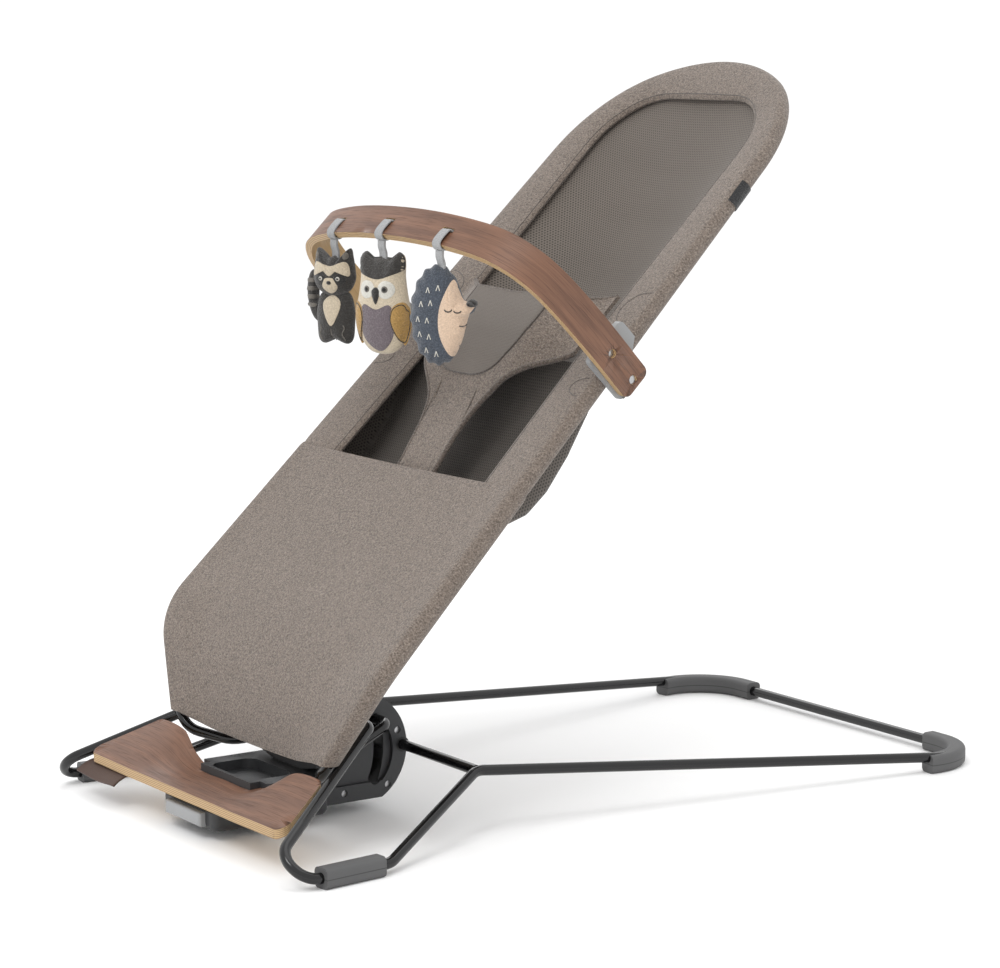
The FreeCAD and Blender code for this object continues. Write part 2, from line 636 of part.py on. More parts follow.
def make_pedal():
    """The bent plywood pedal, its screws and the leather tab under it."""
    reach = PEDAL_FRONT_HALF + PEDAL_OVER
    rise = (PEDAL_WING_IN - PEDAL_DISH_HALF) / PEDAL_STATIONS
    slope = [-PEDAL_WING_IN + rise * i for i in range(PEDAL_STATIONS + 1)]
    stations = [-reach] + slope + [0]
    stations += [-x for x in reversed(stations[:-1])]
    wires = []
    for y in (PEDAL_FRONT_Y - PEDAL_OVER, PEDAL_REAR_Y + PEDAL_OVER):
        curve = Part.BSplineCurve()
        top = [Vec(x, y, pedal_z(x, y)) for x in stations]
        curve.interpolate(top)
        upper = curve.toShape()
        lower = upper.copy()
        lower.translate(Vec(0, 0, -PEDAL_T))
        ends = [Part.makeLine(p, p + Vec(0, 0, -PEDAL_T)) for p in (top[0], top[-1])]
        wires.append(Part.Wire([upper, ends[1], lower, ends[0]]))
    board = Part.makeLoft(wires, True, True)
    wing = PEDAL_REAR_HALF
    near = PEDAL_WING_IN - PEDAL_WING_BLEND[0]
    far = PEDAL_WING_IN - PEDAL_WING_BLEND[1]
    step_y = PEDAL_REAR_Y - PEDAL_STEP
    side_radii = [PEDAL_EDGE_R] * 2 + [PEDAL_NOTCH_R] * 2
    outline = closed(
        [
            (-PEDAL_FRONT_HALF, PEDAL_FRONT_Y, 0), (PEDAL_FRONT_HALF, PEDAL_FRONT_Y, 0),
            (wing, PEDAL_REAR_Y, 0), (near, PEDAL_REAR_Y, 0), (far, step_y, 0),
            (PEDAL_DISH_HALF, step_y, 0), (PEDAL_DISH_HALF, PEDAL_NOTCH_Y, 0),
            (-PEDAL_DISH_HALF, PEDAL_NOTCH_Y, 0), (-PEDAL_DISH_HALF, step_y, 0),
            (-far, step_y, 0), (-near, PEDAL_REAR_Y, 0), (-wing, PEDAL_REAR_Y, 0),
        ],
        [PEDAL_CORNER] * 3 + side_radii + side_radii[::-1] + [PEDAL_CORNER],
    )
    plan = Part.Face(outline).extrude(Vec(0, 0, 2 * PEDAL_WING_Z))
    board = board.common(plan)
    bolts = []
    for x in PEDAL_SCREW_X:
        top = pedal_z(x, PEDAL_SCREW_Y) - PEDAL_SCREW_SINK
        low = TONGUE_LOW - PEDAL_SCREW_HEAD_H
        shank = rod_between((x, PEDAL_SCREW_Y, low), (x, PEDAL_SCREW_Y, top), PEDAL_SCREW_R)
        head = rod_between((x, PEDAL_SCREW_Y, low), (x, PEDAL_SCREW_Y, TONGUE_LOW), PEDAL_SCREW_HEAD_R)
        bolts.append(fuse([shank, head]))
    keep("foot_pedal", largest(board).cut(group(bolts)))
    keep("pedal_screws", group(bolts))
    x0, x1 = TAB_X
    fixing = PEDAL_FRONT_Z - PEDAL_T - TAB_T - 1.0
    under = [(x0, y, fixing + z) for y, z in TAB_LINE]
    upper = [(x, y, z + TAB_T) for x, y, z in reversed(under)]
    keep("leather_tab", Part.Face(closed(under + upper)).extrude(Vec(x1 - x0, 0, 0)))


# ---- Seat ----
def seat_frame_path():
    """The centre line of the seat frame, from one arm's tip round the top to the other's."""
    tip = (ARM_TIP_X, ARM_END[1], ARM_END[2])
    taper = (WIDE_HALF - NARROW_HALF) / (SEAT_LEN - TOP_CORNER_R)
    lean = math.atan(taper)
    drop_x = NARROW_HALF + taper * NARROW_RUN - TOP_CORNER_R * math.cos(lean)
    gap = TOP_ARC_R - TOP_CORNER_R
    centre_s = SEAT_LEN - TOP_ARC_R + math.sqrt(gap * gap - drop_x * drop_x)
    side_x = drop_x + TOP_CORNER_R * math.cos(lean)
    side_s = centre_s + TOP_CORNER_R * math.sin(lean)
    swing = math.atan2(centre_s - (SEAT_LEN - TOP_ARC_R), drop_x)
    meet_x = TOP_ARC_R * math.cos(swing)
    meet_s = SEAT_LEN - TOP_ARC_R + TOP_ARC_R * math.sin(swing)
    middle = (swing + lean) / 2
    half = [
        Part.Arc(
            seat(side_x, side_s),
            seat(drop_x + TOP_CORNER_R * math.cos(middle), centre_s + TOP_CORNER_R * math.sin(middle)),
            seat(meet_x, meet_s),
        ).toShape(),
    ]
    top = Part.Arc(seat(meet_x, meet_s), seat(0, SEAT_LEN), seat(-meet_x, meet_s)).toShape()
    rail = seat(side_x, side_s)
    turn = plane(side_x + (side_s - HEEL_TURN_S) * math.tan(lean), HEEL_TURN_S)
    low = rounded([tip, ARM_END, HOOK_IN, HOOK_LOW, tuple(turn), tuple(rail)], LOW_RADII)
    return low, half, top


def make_seat_frame():
    """The bent rod that carries the seat, with its recline pins."""
    low, half, top = seat_frame_path()
    left = rod(Part.Wire(list(low.OrderedEdges) + half), ROD_R)
    loop = fuse([left, rod(Part.Wire([top]), ROD_R), mirror(left)])
    keep("seat_frame", loop)
    pin = across(RECLINE_Y, RECLINE_Z, PIN_X[0], PIN_X[1], PIN_D / 2).cut(loop)
    pin = largest(pin)
    keep("recline_pins", group([pin, mirror(pin)]))


def covered(radius):
    """The part of the seat frame that the fabric covers, as a rod of this radius."""
    low, half, top = seat_frame_path()
    left = rod(Part.Wire(list(low.OrderedEdges)[COVERED_FROM:] + half), radius)
    return fuse([left, rod(Part.Wire([top]), radius), mirror(left)])


def inside_frame():
    """A tall prism along Y that fills the seat frame's outline, seen from the front."""
    low, half, top = seat_frame_path()
    side = Part.Wire(list(low.OrderedEdges)[COVERED_FROM:] + half)
    points = [Vec(p.x, SEAT_BACK_Y, p.z) for p in side.discretize(SIDE_POINTS)]
    points += [Vec(p.x, SEAT_BACK_Y, p.z) for p in top.discretize(TOP_POINTS)[1:-1]]
    points += [Vec(-p.x, SEAT_BACK_Y, p.z) for p in reversed(side.discretize(SIDE_POINTS))]
    face = Part.Face(Part.makePolygon(points + [points[0]]))
    return face.extrude(Vec(0, -2 * SEAT_BACK_Y, 0))


def slab(n_low, n_high, s_low, s_high):
    """A layer across the seat between two heights off it, following the lower bend."""
    ends = [min(s_low, 0.0), max(s_high, 0.0)]
    edges = []
    for n in (n_low, n_high):
        line = []
        if ends[0] < 0:
            line.append(Part.Arc(seat(0, ends[0], n), seat(0, ends[0] / 2, n), seat(0, 0, n)).toShape())
        if s_high > 0:
            line.append(Part.makeLine(seat(0, max(s_low, 0.0), n), seat(0, s_high, n)))
        edges.append(line)
    caps = [Part.makeLine(seat(0, s, n_low), seat(0, s, n_high)) for s in (s_low, s_high)]
    outline = Part.Wire(Part.__sortEdges__(edges[0] + edges[1] + caps))
    return side_prism(outline, -REAR_HALF, REAR_HALF)


def through(outline):
    """A prism square to the seat's flat plane, from a closed outline of (x, s) points."""
    points = [seat(x, s, -REAR_HALF) for x, s in outline]
    return Part.Face(Part.makePolygon(points + [points[0]])).extrude(OUT * (2 * REAR_HALF))


def opening_outline(grow=0.0, bottom=None):
    """The inner edge of the fabric border, grown outwards if asked."""
    side = [(x + grow, s) for x, s in OPENING]
    if bottom is not None:
        share = (bottom - side[0][1]) / (side[1][1] - side[0][1])
        first_x = side[0][0] + share * (side[1][0] - side[0][0])
        side = [(first_x, bottom)] + [p for p in side[1:] if p[1] > bottom]
    x_top = side[-1][0] - OPENING_CORNER_R
    s_top = OPENING_TOP_S + grow - OPENING_CORNER_R
    corner = []
    for step in range(1, CORNER_STEPS + 1):
        angle = math.pi / 2 * step / CORNER_STEPS
        x = x_top + OPENING_CORNER_R * math.cos(angle)
        corner.append((x, s_top + OPENING_CORNER_R * math.sin(angle)))
    right = side + corner
    return right + [(-x, s) for x, s in reversed(right)]


def ribbon(run, thickness, x_low, x_high):
    """A sheet that follows a run of (s, n) points seen from the side, between two x values."""
    under = Part.BSplineCurve()
    under.interpolate([seat(0, s, n) for s, n in run])
    over = Part.BSplineCurve()
    over.interpolate([seat(0, s, n + thickness) for s, n in run])
    first = Part.makeLine(seat(0, *run[0]), seat(0, run[0][0], run[0][1] + thickness))
    last = Part.makeLine(seat(0, *run[-1]), seat(0, run[-1][0], run[-1][1] + thickness))
    outline = Part.Wire(Part.__sortEdges__([under.toShape(), first, over.toShape(), last]))
    return side_prism(outline, x_low, x_high)


def make_fabric():
    """The seat's cover: edge, front panel, border, back mesh and sling."""
    outer = covered(ROD_R + COVER_WALL)
    legs = rod(spring_path(), ROD_R + GAP)
    keep("cover_edge", largest(outer.cut(covered(ROD_R)).cut(legs).cut(mirror(legs))))
    fill = inside_frame().cut(outer)
    half = CLOTH_T / 2
    panel = largest(slab(-half, half, HEM_S, LEG_S).common(fill))
    keep("front_panel", panel)
    border = slab(-half, half, LEG_S, SEAT_LEN + ROD_D).common(fill)
    border = largest(border.cut(through(opening_outline())))
    keep("seat_border", border)
    mesh = slab(-half - MESH_T, -half, MESH_BOTTOM_S, SEAT_LEN)
    keep("back_mesh", mesh.common(through(opening_outline(MESH_LAP, MESH_BOTTOM_S))))
    lowered = [(s, n - POUCH_T) for s, n in POUCH]
    trough = ribbon(lowered, POUCH_T, -POUCH_HALF, POUCH_HALF)
    wall_run = Part.BSplineCurve()
    wall_run.interpolate([seat(0, s, n) for s, n in POUCH])
    lid = -half
    end_s = POUCH[-1][0]
    rim = [
        Part.makeLine(seat(0, *POUCH[0]), seat(0, POUCH[0][0], lid)),
        Part.makeLine(seat(0, POUCH[0][0], lid), seat(0, end_s, lid)),
        Part.makeLine(seat(0, end_s, lid), seat(0, *POUCH[-1])),
    ]
    outline = Part.Wire(Part.__sortEdges__([wall_run.toShape()] + rim))
    wall = side_prism(outline, POUCH_HALF - POUCH_T, POUCH_HALF)
    keep("sling_pouch", fuse([trough, wall, mirror(wall)]))


def make_harness():
    """The bib with its mesh, its strap between the legs and its two arms."""
    sheet = ribbon(BIB_RUN, BIB_T, -BIB_HALF, BIB_HALF)
    side = list(BIB_SIDE) + [(BIB_HALF, BIB_TOP_S)]
    sheet = sheet.common(through(side + [(-x, s) for x, s in reversed(side)]))
    window = through(BIB_MESH)
    keep("bib_panel", largest(sheet.cut(window).cut(NODES["front_panel"])))
    keep("bib_mesh", largest(sheet.common(window)))
    wires = []
    root_x, root_low, root_high = ARM_ROOT
    tie_x, tie_low, tie_high = ARM_TIE
    root_n = BIB_RUN[-1][1] - BIB_T / 2
    for x, s_low, s_high, n in ((root_x, root_low, root_high, root_n), (tie_x, tie_low, tie_high, ARM_TIE_N)):
        ring = [seat(x, s_low, n), seat(x, s_high, n), seat(x, s_high, n + BIB_T), seat(x, s_low, n + BIB_T)]
        wires.append(Part.makePolygon(ring + [ring[0]]))
    arm = largest(Part.makeLoft(wires, True, True).cut(sheet))
    keep("harness_arm_left", arm)
    keep("harness_arm_right", mirror(arm))


def rail_x(s):
    """Half width of the seat frame's straight rail, at this place along the seat."""
    line = seat_frame_path()[0].OrderedEdges[-1]
    a = line.valueAt(line.FirstParameter)
    b = line.valueAt(line.LastParameter)
    target = FLAT + UP * s
    share = (target.z - a.z) / (b.z - a.z)
    return a.x + share * (b.x - a.x)


def make_trim():
    """The blank side label and the small toggles of the harness."""
    ends = [tuple(seat(rail_x(s), s)) for s in LABEL_S]
    wrap = rod_between(ends[0], ends[1], ROD_R + COVER_WALL + LABEL_T)
    hole = covered(ROD_R + COVER_WALL)
    wrap = wrap.cut(hole)
    keep_side = block((rail_x(LABEL_S[1]) - 1, REAR_HALF), (-REAR_Y, REAR_Y), (0, 2 * REAR_Y))
    keep("side_label", largest(wrap.common(keep_side)))
    toggles = []
    for side in (-1, 1):
        base = seat(side * TOGGLE_X, TOGGLE_S, CLOTH_T / 2)
        toggles.append(Part.makeCylinder(TOGGLE_R, TOGGLE_LEN, base, OUT))
    keep("harness_toggles", group(toggles))


# ---- Toy bar ----
def bar_curve(points):
    """A smooth arch through the (x, n) points of one side and their mirror images."""
    full = list(points) + [(-x, n) for x, n in reversed(points[:-1])]
    curve = Part.BSplineCurve()
    curve.interpolate([seat(x, BAR_S - BAR_W / 2, n) for x, n in full])
    return curve.toShape()


def bar_inner():
    """The (x, n) points of the bar's inner face."""
    inner = []
    for i, (x, n) in enumerate(BAR_OUTER):
        before = BAR_OUTER[max(i - 1, 0)]
        after = BAR_OUTER[i + 1] if i + 1 < len(BAR_OUTER) else (-BAR_OUTER[i - 1][0], BAR_OUTER[i - 1][1])
        dx, dn = after[0] - before[0], after[1] - before[1]
        length = math.hypot(dx, dn)
        inner.append((x - BAR_T * dn / length, n + BAR_T * dx / length))
    return inner


def bar_height(x):
    """Height of the bar's outer face off the seat at this x."""
    line = Part.makeLine(seat(x, BAR_S - BAR_W / 2, 0), seat(x, BAR_S - BAR_W / 2, 2 * BAR_OUTER[-1][1]))
    hit = bar_curve(BAR_OUTER).distToShape(line)[1][0][0]
    return (hit - seat(x, BAR_S - BAR_W / 2)).dot(OUT)


def seat_block(x, s, n):
    """A box whose sides follow the seat's own directions."""
    corner = seat(x[0], s[0], n[0])
    ring = [corner, corner + Vec(x[1] - x[0], 0, 0), corner + Vec(x[1] - x[0], 0, 0) + UP * (s[1] - s[0]),
            corner + UP * (s[1] - s[0])]
    return Part.Face(Part.makePolygon(ring + [ring[0]])).extrude(OUT * (n[1] - n[0]))


def make_toy_bar():
    """The bent plywood bar, its clamps, screws and webbing."""
    outer = bar_curve(BAR_OUTER)
    inner = bar_curve(bar_inner())
    ends = [
        Part.makeLine(outer.valueAt(outer.FirstParameter), inner.valueAt(inner.FirstParameter)),
        Part.makeLine(outer.valueAt(outer.LastParameter), inner.valueAt(inner.LastParameter)),
    ]
    face = Part.Face(Part.Wire(Part.__sortEdges__([outer, inner] + ends)))
    bar = face.extrude(UP * BAR_W)
    tip_n = seat(0, 0, BAR_OUTER[0][1] + 1).dot(OUT)
    short = [e for e in bar.Edges if e.Length < BAR_T + 0.5 and e.CenterOfMass.dot(OUT) < tip_n]
    bar = bar.makeFillet(BAR_END_R, short)
    screws = []
    rail = rail_x(CLAMP_S[0]) + ROD_R + COVER_WALL + GAP
    box = seat_block((rail, BAR_OUTER[0][0] + 2), CLAMP_S, CLAMP_N)
    long_edges = [e for e in box.Edges if abs(e.tangentAt(e.FirstParameter).x) > ALONG]
    box = box.makeFillet(CLAMP_CORNER, long_edges)
    over = face.copy()
    over.translate(UP * (-BAR_W))
    shadow = over.extrude(UP * (3 * BAR_W))
    tall = CLAMP_N[1] - CLAMP_N[0]
    beyond_x = (BAR_OUTER[0][0] - BAR_T + 2, REAR_HALF)
    beyond = seat_block(beyond_x, (CLAMP_S[0] - 1, CLAMP_S[1] + 1), (-tall, tall))
    corner = [seat(0, s, n) for s, n in CLAMP_NOTCH]
    notch = side_prism(Part.makePolygon(corner + [corner[0]]), 0, REAR_HALF)
    clamp = largest(box.cut(shadow).cut(beyond).cut(notch))
    for n in BAR_SCREW_N:
        at = seat(BAR_OUTER[0][0] - BAR_T - 2, BAR_S, n)
        seat_x = BAR_OUTER[0][0] + 1 - BAR_SCREW_SINK
        shank = rod_between(tuple(at), (seat_x, at.y, at.z), BAR_SCREW_R)
        head = rod_between((seat_x - 1, at.y, at.z), (seat_x, at.y, at.z), BAR_SCREW_HEAD_R)
        sink = rod_between((seat_x - 1, at.y, at.z), (REAR_HALF, at.y, at.z), BAR_SCREW_HEAD_R)
        screw = fuse([shank, head])
        screws.append(screw)
        clamp = clamp.cut(screw)
        bar = bar.cut(fuse([sink, shank])).cut(mirror(fuse([sink, shank])))
    keep("bar_clamp_left", clamp)
    keep("bar_clamp_right", mirror(clamp))
    keep("bar_screws_left", group(screws))
    keep("bar_screws_right", mirror(group(screws)))
    top = BAR_OUTER[-1][1]
    for x in (-SLOT_X, 0.0, SLOT_X):
        long_side = (x - SLOT_LEN / 2, x + SLOT_LEN / 2)
        short_side = (BAR_S - SLOT_W / 2, BAR_S + SLOT_W / 2)
        bar = bar.cut(seat_block(long_side, short_side, (top - 4 * BAR_T, top + BAR_T)))
    keep("toy_bar", bar)


def strap_edge(x):
    """The lower front edge of the bar above a toy, on its inner face."""
    return seat(x, BAR_S - BAR_W / 2, bar_height(x) - BAR_T)


def make_strap(name, x):
    """The webbing that loops through a slot and hangs from the bar's lower edge."""
    high = bar_height(x) + GAP
    low = high - BAR_T - 2 * GAP
    front = BAR_S - BAR_W / 2 - GAP
    wide = (x - STRAP_W / 2, x + STRAP_W / 2)
    lift = (bar_height(abs(x) - STRAP_W / 2) - bar_height(abs(x) + STRAP_W / 2)) / 2 if x else 0.0
    pieces = [
        seat_block(wide, (front - STRAP_T, BAR_S), (high + lift, high + lift + STRAP_T)),
        seat_block(wide, (front - STRAP_T, front), (low - lift - STRAP_T, high + lift + STRAP_T)),
        seat_block(wide, (front - STRAP_T, BAR_S), (low - lift - STRAP_T, low - lift)),
        seat_block(wide, (BAR_S - STRAP_T, BAR_S), (low - lift - STRAP_T, high + lift + STRAP_T)),
    ]
    edge = seat(x, front - STRAP_T, low - lift - STRAP_T)
    tail = block(wide, (edge.y, edge.y + STRAP_T), (strap_edge(x).z - STRAP_DROP, edge.z + STRAP_T))
    keep("strap_" + name, largest(fuse(pieces + [tail])))


def ellipsoid(centre, half):
    """A ball stretched to the given half sizes."""
    ball = Part.makeSphere(1.0)
    matrix = FreeCAD.Matrix()
    matrix.scale(*half)
    ball = ball.transformGeometry(matrix)
    ball.translate(Vec(*centre))
    return ball


def hang(name, x, pieces):
    """Fuses a toy drawn facing -Y below the origin, turns it and hangs it under its strap."""
    toy = fuse(pieces)
    toy.rotate(Vec(0, 0, 0), Vec(0, 0, 1), TOY_YAW[name])
    edge = strap_edge(x)
    toy.translate(Vec(x, edge.y, edge.z - STRAP_DROP - TOY_CLEAR))
    keep("toy_" + name, toy)


def make_toys():
    """Three stuffed felt animals, each a plain closed solid."""
    for name, x in TOY_X.items():
        make_strap(name, x)
        hang(name, x, [ellipsoid(centre, half) for centre, half in TOY_LOBES[name]])


# ---- Export ----
def main():
    make_base()
    make_sleeves()
    make_hub()
    make_bracket()
    make_pedal()
    make_tray()
    make_belly()
    make_seat_frame()
    make_fabric()
    make_harness()
    make_trim()
    make_toy_bar()
    make_toys()
    os.makedirs("parts", exist_ok=True)
    for name, shape in NODES.items():
        print(f"{name:24s} valid={shape.isValid()} solids={len(shape.Solids)} volume={shape.Volume:.1f} mm3")
        shape.exportStep(f"parts/{name}.step")


main()
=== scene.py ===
"""Looks for the bouncer seat: fabric, felt toys, bent wood, paint, rubber, plastic and the studio.

Units are metres, in the object's own frame: origin on the floor, +Y towards the head end, +Z up.
"""

import json
import logging
import math
import random
from dataclasses import dataclass, field
from enum import Enum
from typing import Callable, Iterable, Optional, Sequence

import bmesh
import bpy
from mathutils import Matrix, Vector

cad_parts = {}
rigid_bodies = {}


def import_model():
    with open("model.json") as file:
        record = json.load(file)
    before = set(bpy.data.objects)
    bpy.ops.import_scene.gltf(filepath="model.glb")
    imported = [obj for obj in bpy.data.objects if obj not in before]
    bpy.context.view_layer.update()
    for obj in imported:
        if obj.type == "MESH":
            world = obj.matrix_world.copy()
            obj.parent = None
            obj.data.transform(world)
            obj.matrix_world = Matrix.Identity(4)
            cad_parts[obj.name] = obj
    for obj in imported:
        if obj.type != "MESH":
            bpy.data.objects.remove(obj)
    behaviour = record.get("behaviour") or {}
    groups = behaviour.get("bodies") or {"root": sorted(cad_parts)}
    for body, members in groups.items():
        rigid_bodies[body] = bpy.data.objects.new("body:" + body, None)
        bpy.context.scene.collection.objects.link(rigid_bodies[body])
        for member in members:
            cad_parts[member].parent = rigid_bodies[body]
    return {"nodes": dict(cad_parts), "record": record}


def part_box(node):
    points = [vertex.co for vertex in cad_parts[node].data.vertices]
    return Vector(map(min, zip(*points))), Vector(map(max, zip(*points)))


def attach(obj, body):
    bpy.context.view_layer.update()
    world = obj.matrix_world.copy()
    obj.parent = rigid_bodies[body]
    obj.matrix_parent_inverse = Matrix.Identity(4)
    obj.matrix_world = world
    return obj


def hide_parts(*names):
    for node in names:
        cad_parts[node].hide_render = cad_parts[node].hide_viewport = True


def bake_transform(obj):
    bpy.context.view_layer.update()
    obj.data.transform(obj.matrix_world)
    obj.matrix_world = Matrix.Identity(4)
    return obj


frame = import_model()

LOG = logging.getLogger("bouncer_seat")
Point = tuple[float, float]
Colour = tuple[float, float, float]

# ---------------------------------------------------------------- seat geometry


@dataclass(frozen=True)
class SeatPlane:
    """The sloping seat: x across, s along its slope and n off it, with the bend below s = 0."""

    slope: float = math.radians(44.5)
    heel_radius: float = 0.170
    heel_y: float = -0.123
    heel_z: float = 0.07146
    flat_y: float = -0.24216
    flat_z: float = 0.19271
    length: float = 0.65426

    @property
    def up(self) -> Vector:
        """Direction along the seat towards the head."""
        return Vector((0.0, math.cos(self.slope), math.sin(self.slope)))

    @property
    def out(self) -> Vector:
        """Direction off the seat towards the sitter."""
        return Vector((0.0, -math.sin(self.slope), math.cos(self.slope)))

    def normal(self, s: float) -> Vector:
        """Outward direction of the seat's surface at s.

        Args:
            s: distance up the slope, in metres.

        Returns:
            A unit vector.
        """
        if s >= 0:
            return self.out
        turn = self.slope - s / self.heel_radius
        return Vector((0.0, -math.sin(turn), math.cos(turn)))

    def at(self, x: float, s: float, n: float = 0.0) -> Vector:
        """The point at x, s and n.

        Args:
            x: distance to the sitter's left.
            s: distance up the slope.
            n: distance off the seat's plane.

        Returns:
            The point in the frame.
        """
        if s >= 0:
            return Vector((x, self.flat_y, self.flat_z)) + self.up * s + self.out * n
        centre = Vector((x, self.heel_y, self.heel_z))
        return centre + self.normal(s) * (self.heel_radius + n)


SEAT = SeatPlane()


def smooth(t: float) -> float:
    """Smoothstep of t, held between 0 and 1.

    Args:
        t: the value to ease.

    Returns:
        The eased value, 0 to 1.
    """
    t = min(max(t, 0.0), 1.0)
    return t * t * (3 - 2 * t)


def spline(points: Sequence[Sequence[float]], steps: int, loop: bool = False) -> list[tuple[float, ...]]:
    """A smooth Catmull-Rom line through the points.

    Args:
        points: the points, of any number of coordinates.
        steps: how many parts each span is divided into.
        loop: whether the line closes on itself.

    Returns:
        The line's points.
    """
    count = len(points)
    spans = count if loop else count - 1
    line: list[tuple[float, ...]] = []

    def pick(i: int) -> Sequence[float]:
        """The point at an index, wrapped or held at the ends.

        Args:
            i: an index, which may lie past either end.

        Returns:
            The point there.
        """
        return points[i % count] if loop else points[min(max(i, 0), count - 1)]

    for i in range(spans):
        a, b, c, d = (pick(i + k) for k in (-1, 0, 1, 2))
        for k in range(steps):
            t = k / steps
            line.append(tuple(
                0.5 * (2 * q + (r - p) * t + (2 * p - 5 * q + 4 * r - w) * t * t + (3 * q - p - 3 * r + w) * t ** 3)
                for p, q, r, w in zip(a, b, c, d)
            ))
    if not loop:
        line.append(tuple(points[-1]))
    return line


def lookup(table: Sequence[Point], x: float) -> float:
    """Straight-line reading of a table of (x, value) pairs, held at its ends.

    Args:
        table: (x, value) pairs in rising x.
        x: where to read.

    Returns:
        The value there.
    """
    if x <= table[0][0]:
        return table[0][1]
    for (x0, v0), (x1, v1) in zip(table, table[1:]):
        if x <= x1:
            return v0 + (v1 - v0) * (x - x0) / (x1 - x0)
    return table[-1][1]


def rounded_path(points: Sequence[Sequence[float]], radii: Sequence[float], pitch: float = 0.004) -> list[Vector]:
    """Points along straight runs joined by arcs.

    Args:
        points: the corners of the path.
        radii: the bend radius at each inner corner.
        pitch: the distance between points.

    Returns:
        The path's points, evenly spaced on each run and arc.
    """
    corners = [Vector(p) for p in points]
    line: list[Vector] = []
    start = corners[0]

    def run(a: Vector, b: Vector) -> None:
        """Adds the points of a straight stretch to the line.

        Args:
            a: the stretch's start.
            b: its end.
        """
        count = max(1, round((b - a).length / pitch))
        line.extend(a.lerp(b, k / count) for k in range(count))

    for before, corner, after, radius in zip(corners, corners[1:], corners[2:], radii):
        to_before = (before - corner).normalized()
        to_after = (after - corner).normalized()
        half = to_before.angle(to_after) / 2
        reach = radius / math.tan(half)
        first = corner + to_before * reach
        centre = corner + (to_before + to_after).normalized() * (radius / math.sin(half))
        run(start, first)
        arm = first - centre
        sweep = math.pi - 2 * half
        axis = arm.cross(to_after - to_before).normalized()
        if arm.cross(-to_before).dot(axis) < 0:
            axis = -axis
        count = max(4, round(radius * sweep / pitch))
        line.extend(centre + Matrix.Rotation(sweep * k / count, 3, axis) @ arm for k in range(count))
        start = corner + to_after * reach
    run(start, corners[-1])
    line.append(corners[-1])
    return line


@dataclass(frozen=True)
class Rail:
    """The centre line of the seat's bent rod under the fabric."""

    side_x: float = 0.15044
    side_s: float = 0.5377
    taper: float = 0.0547
    turn_s: float = -0.052
    turn_radius: float = 0.070
    corner_x: float = 0.03561
    corner_s: float = 0.53144
    corner_radius: float = 0.115
    top_radius: float = 0.200
    hook: tuple[float, float, float] = (0.120, -0.301, 0.0625)
    hook_in: tuple[float, float, float] = (0.072, -0.271, 0.054)
    hook_radius: float = 0.030
    hem_z: float = 0.077

    def half_width(self, s: float) -> float:
        """Half width of the straight rails at s.

        Args:
            s: distance up the slope.

        Returns:
            The half width in metres.
        """
        return self.side_x + (self.side_s - s) * self.taper

    def low_line(self) -> list[Vector]:
        """The rod from the hem up to the start of the straight rail, on the +X side."""
        turn_x = self.half_width(self.turn_s)
        turn = Vector((turn_x, SEAT.flat_y, SEAT.flat_z)) + SEAT.up * self.turn_s
        path = rounded_path(
            [self.hook_in, self.hook, turn, SEAT.at(self.half_width(0.1), 0.1)],
            [self.hook_radius, self.turn_radius],
        )
        return [p for p in path if p.z > self.hem_z - 0.002 and p.x > 0.128]

    def at_height(self, z: float) -> Vector:
        """The rod's centre on the +X side where it passes this height.

        Args:
            z: height above the floor.

        Returns:
            The rod's centre there.
        """
        line = self.low_line()
        if z >= line[-1].z:
            s = (z - SEAT.flat_z) / math.sin(SEAT.slope)
            return SEAT.at(self.half_width(s), s)
        for a, b in zip(line, line[1:]):
            if a.z <= z <= b.z:
                return a.lerp(b, (z - a.z) / (b.z - a.z))
        return line[0].copy()

    def top_line(self, steps: int = 26) -> list[Point]:
        """The (x, s) points of the rounded top, from the +X rail to the middle.

        Args:
            steps: how many points the curve is cut into.

        Returns:
            The points, from the rail inwards.
        """
        lean = math.atan(self.taper)
        top_s = SEAT.length - self.top_radius
        swing = math.atan2(self.corner_s - top_s, self.corner_x)
        line = []
        for k in range(steps + 1):
            a = lean + (swing - lean) * k / steps
            line.append((self.corner_x + self.corner_radius * math.cos(a),
                         self.corner_s + self.corner_radius * math.sin(a)))
        for k in range(1, steps + 1):
            a = swing + (math.pi / 2 - swing) * k / steps
            line.append((self.top_radius * math.cos(a), top_s + self.top_radius * math.sin(a)))
        return line


RAIL = Rail()

# ---------------------------------------------------------------- mesh helpers


def make_object(name: str, mesh: bpy.types.Mesh) -> bpy.types.Object:
    """Links a mesh into the scene as an object of that name.

    Args:
        name: the new object's name.
        mesh: its mesh.

    Returns:
        The new object.
    """
    obj = bpy.data.objects.new(name, mesh)
    bpy.context.scene.collection.objects.link(obj)
    return obj


def select_only(obj: bpy.types.Object) -> None:
    """Deselects everything, then selects this object and makes it active.

    Args:
        obj: the object to select.
    """
    bpy.ops.object.select_all(action="DESELECT")
    obj.select_set(True)
    bpy.context.view_layer.objects.active = obj


def apply_modifiers(obj: bpy.types.Object) -> None:
    """Applies all of the object's modifiers.

    Args:
        obj: the object to change.
    """
    select_only(obj)
    for modifier in list(obj.modifiers):
        bpy.ops.object.modifier_apply(modifier=modifier.name)


def soften(obj: bpy.types.Object, degrees: float = 40.0) -> None:
    """Smooth shading, except across edges sharper than the angle.

    Args:
        obj: the object to shade.
        degrees: edges sharper than this stay sharp.
    """
    select_only(obj)
    bpy.ops.object.shade_smooth_by_angle(angle=math.radians(degrees))


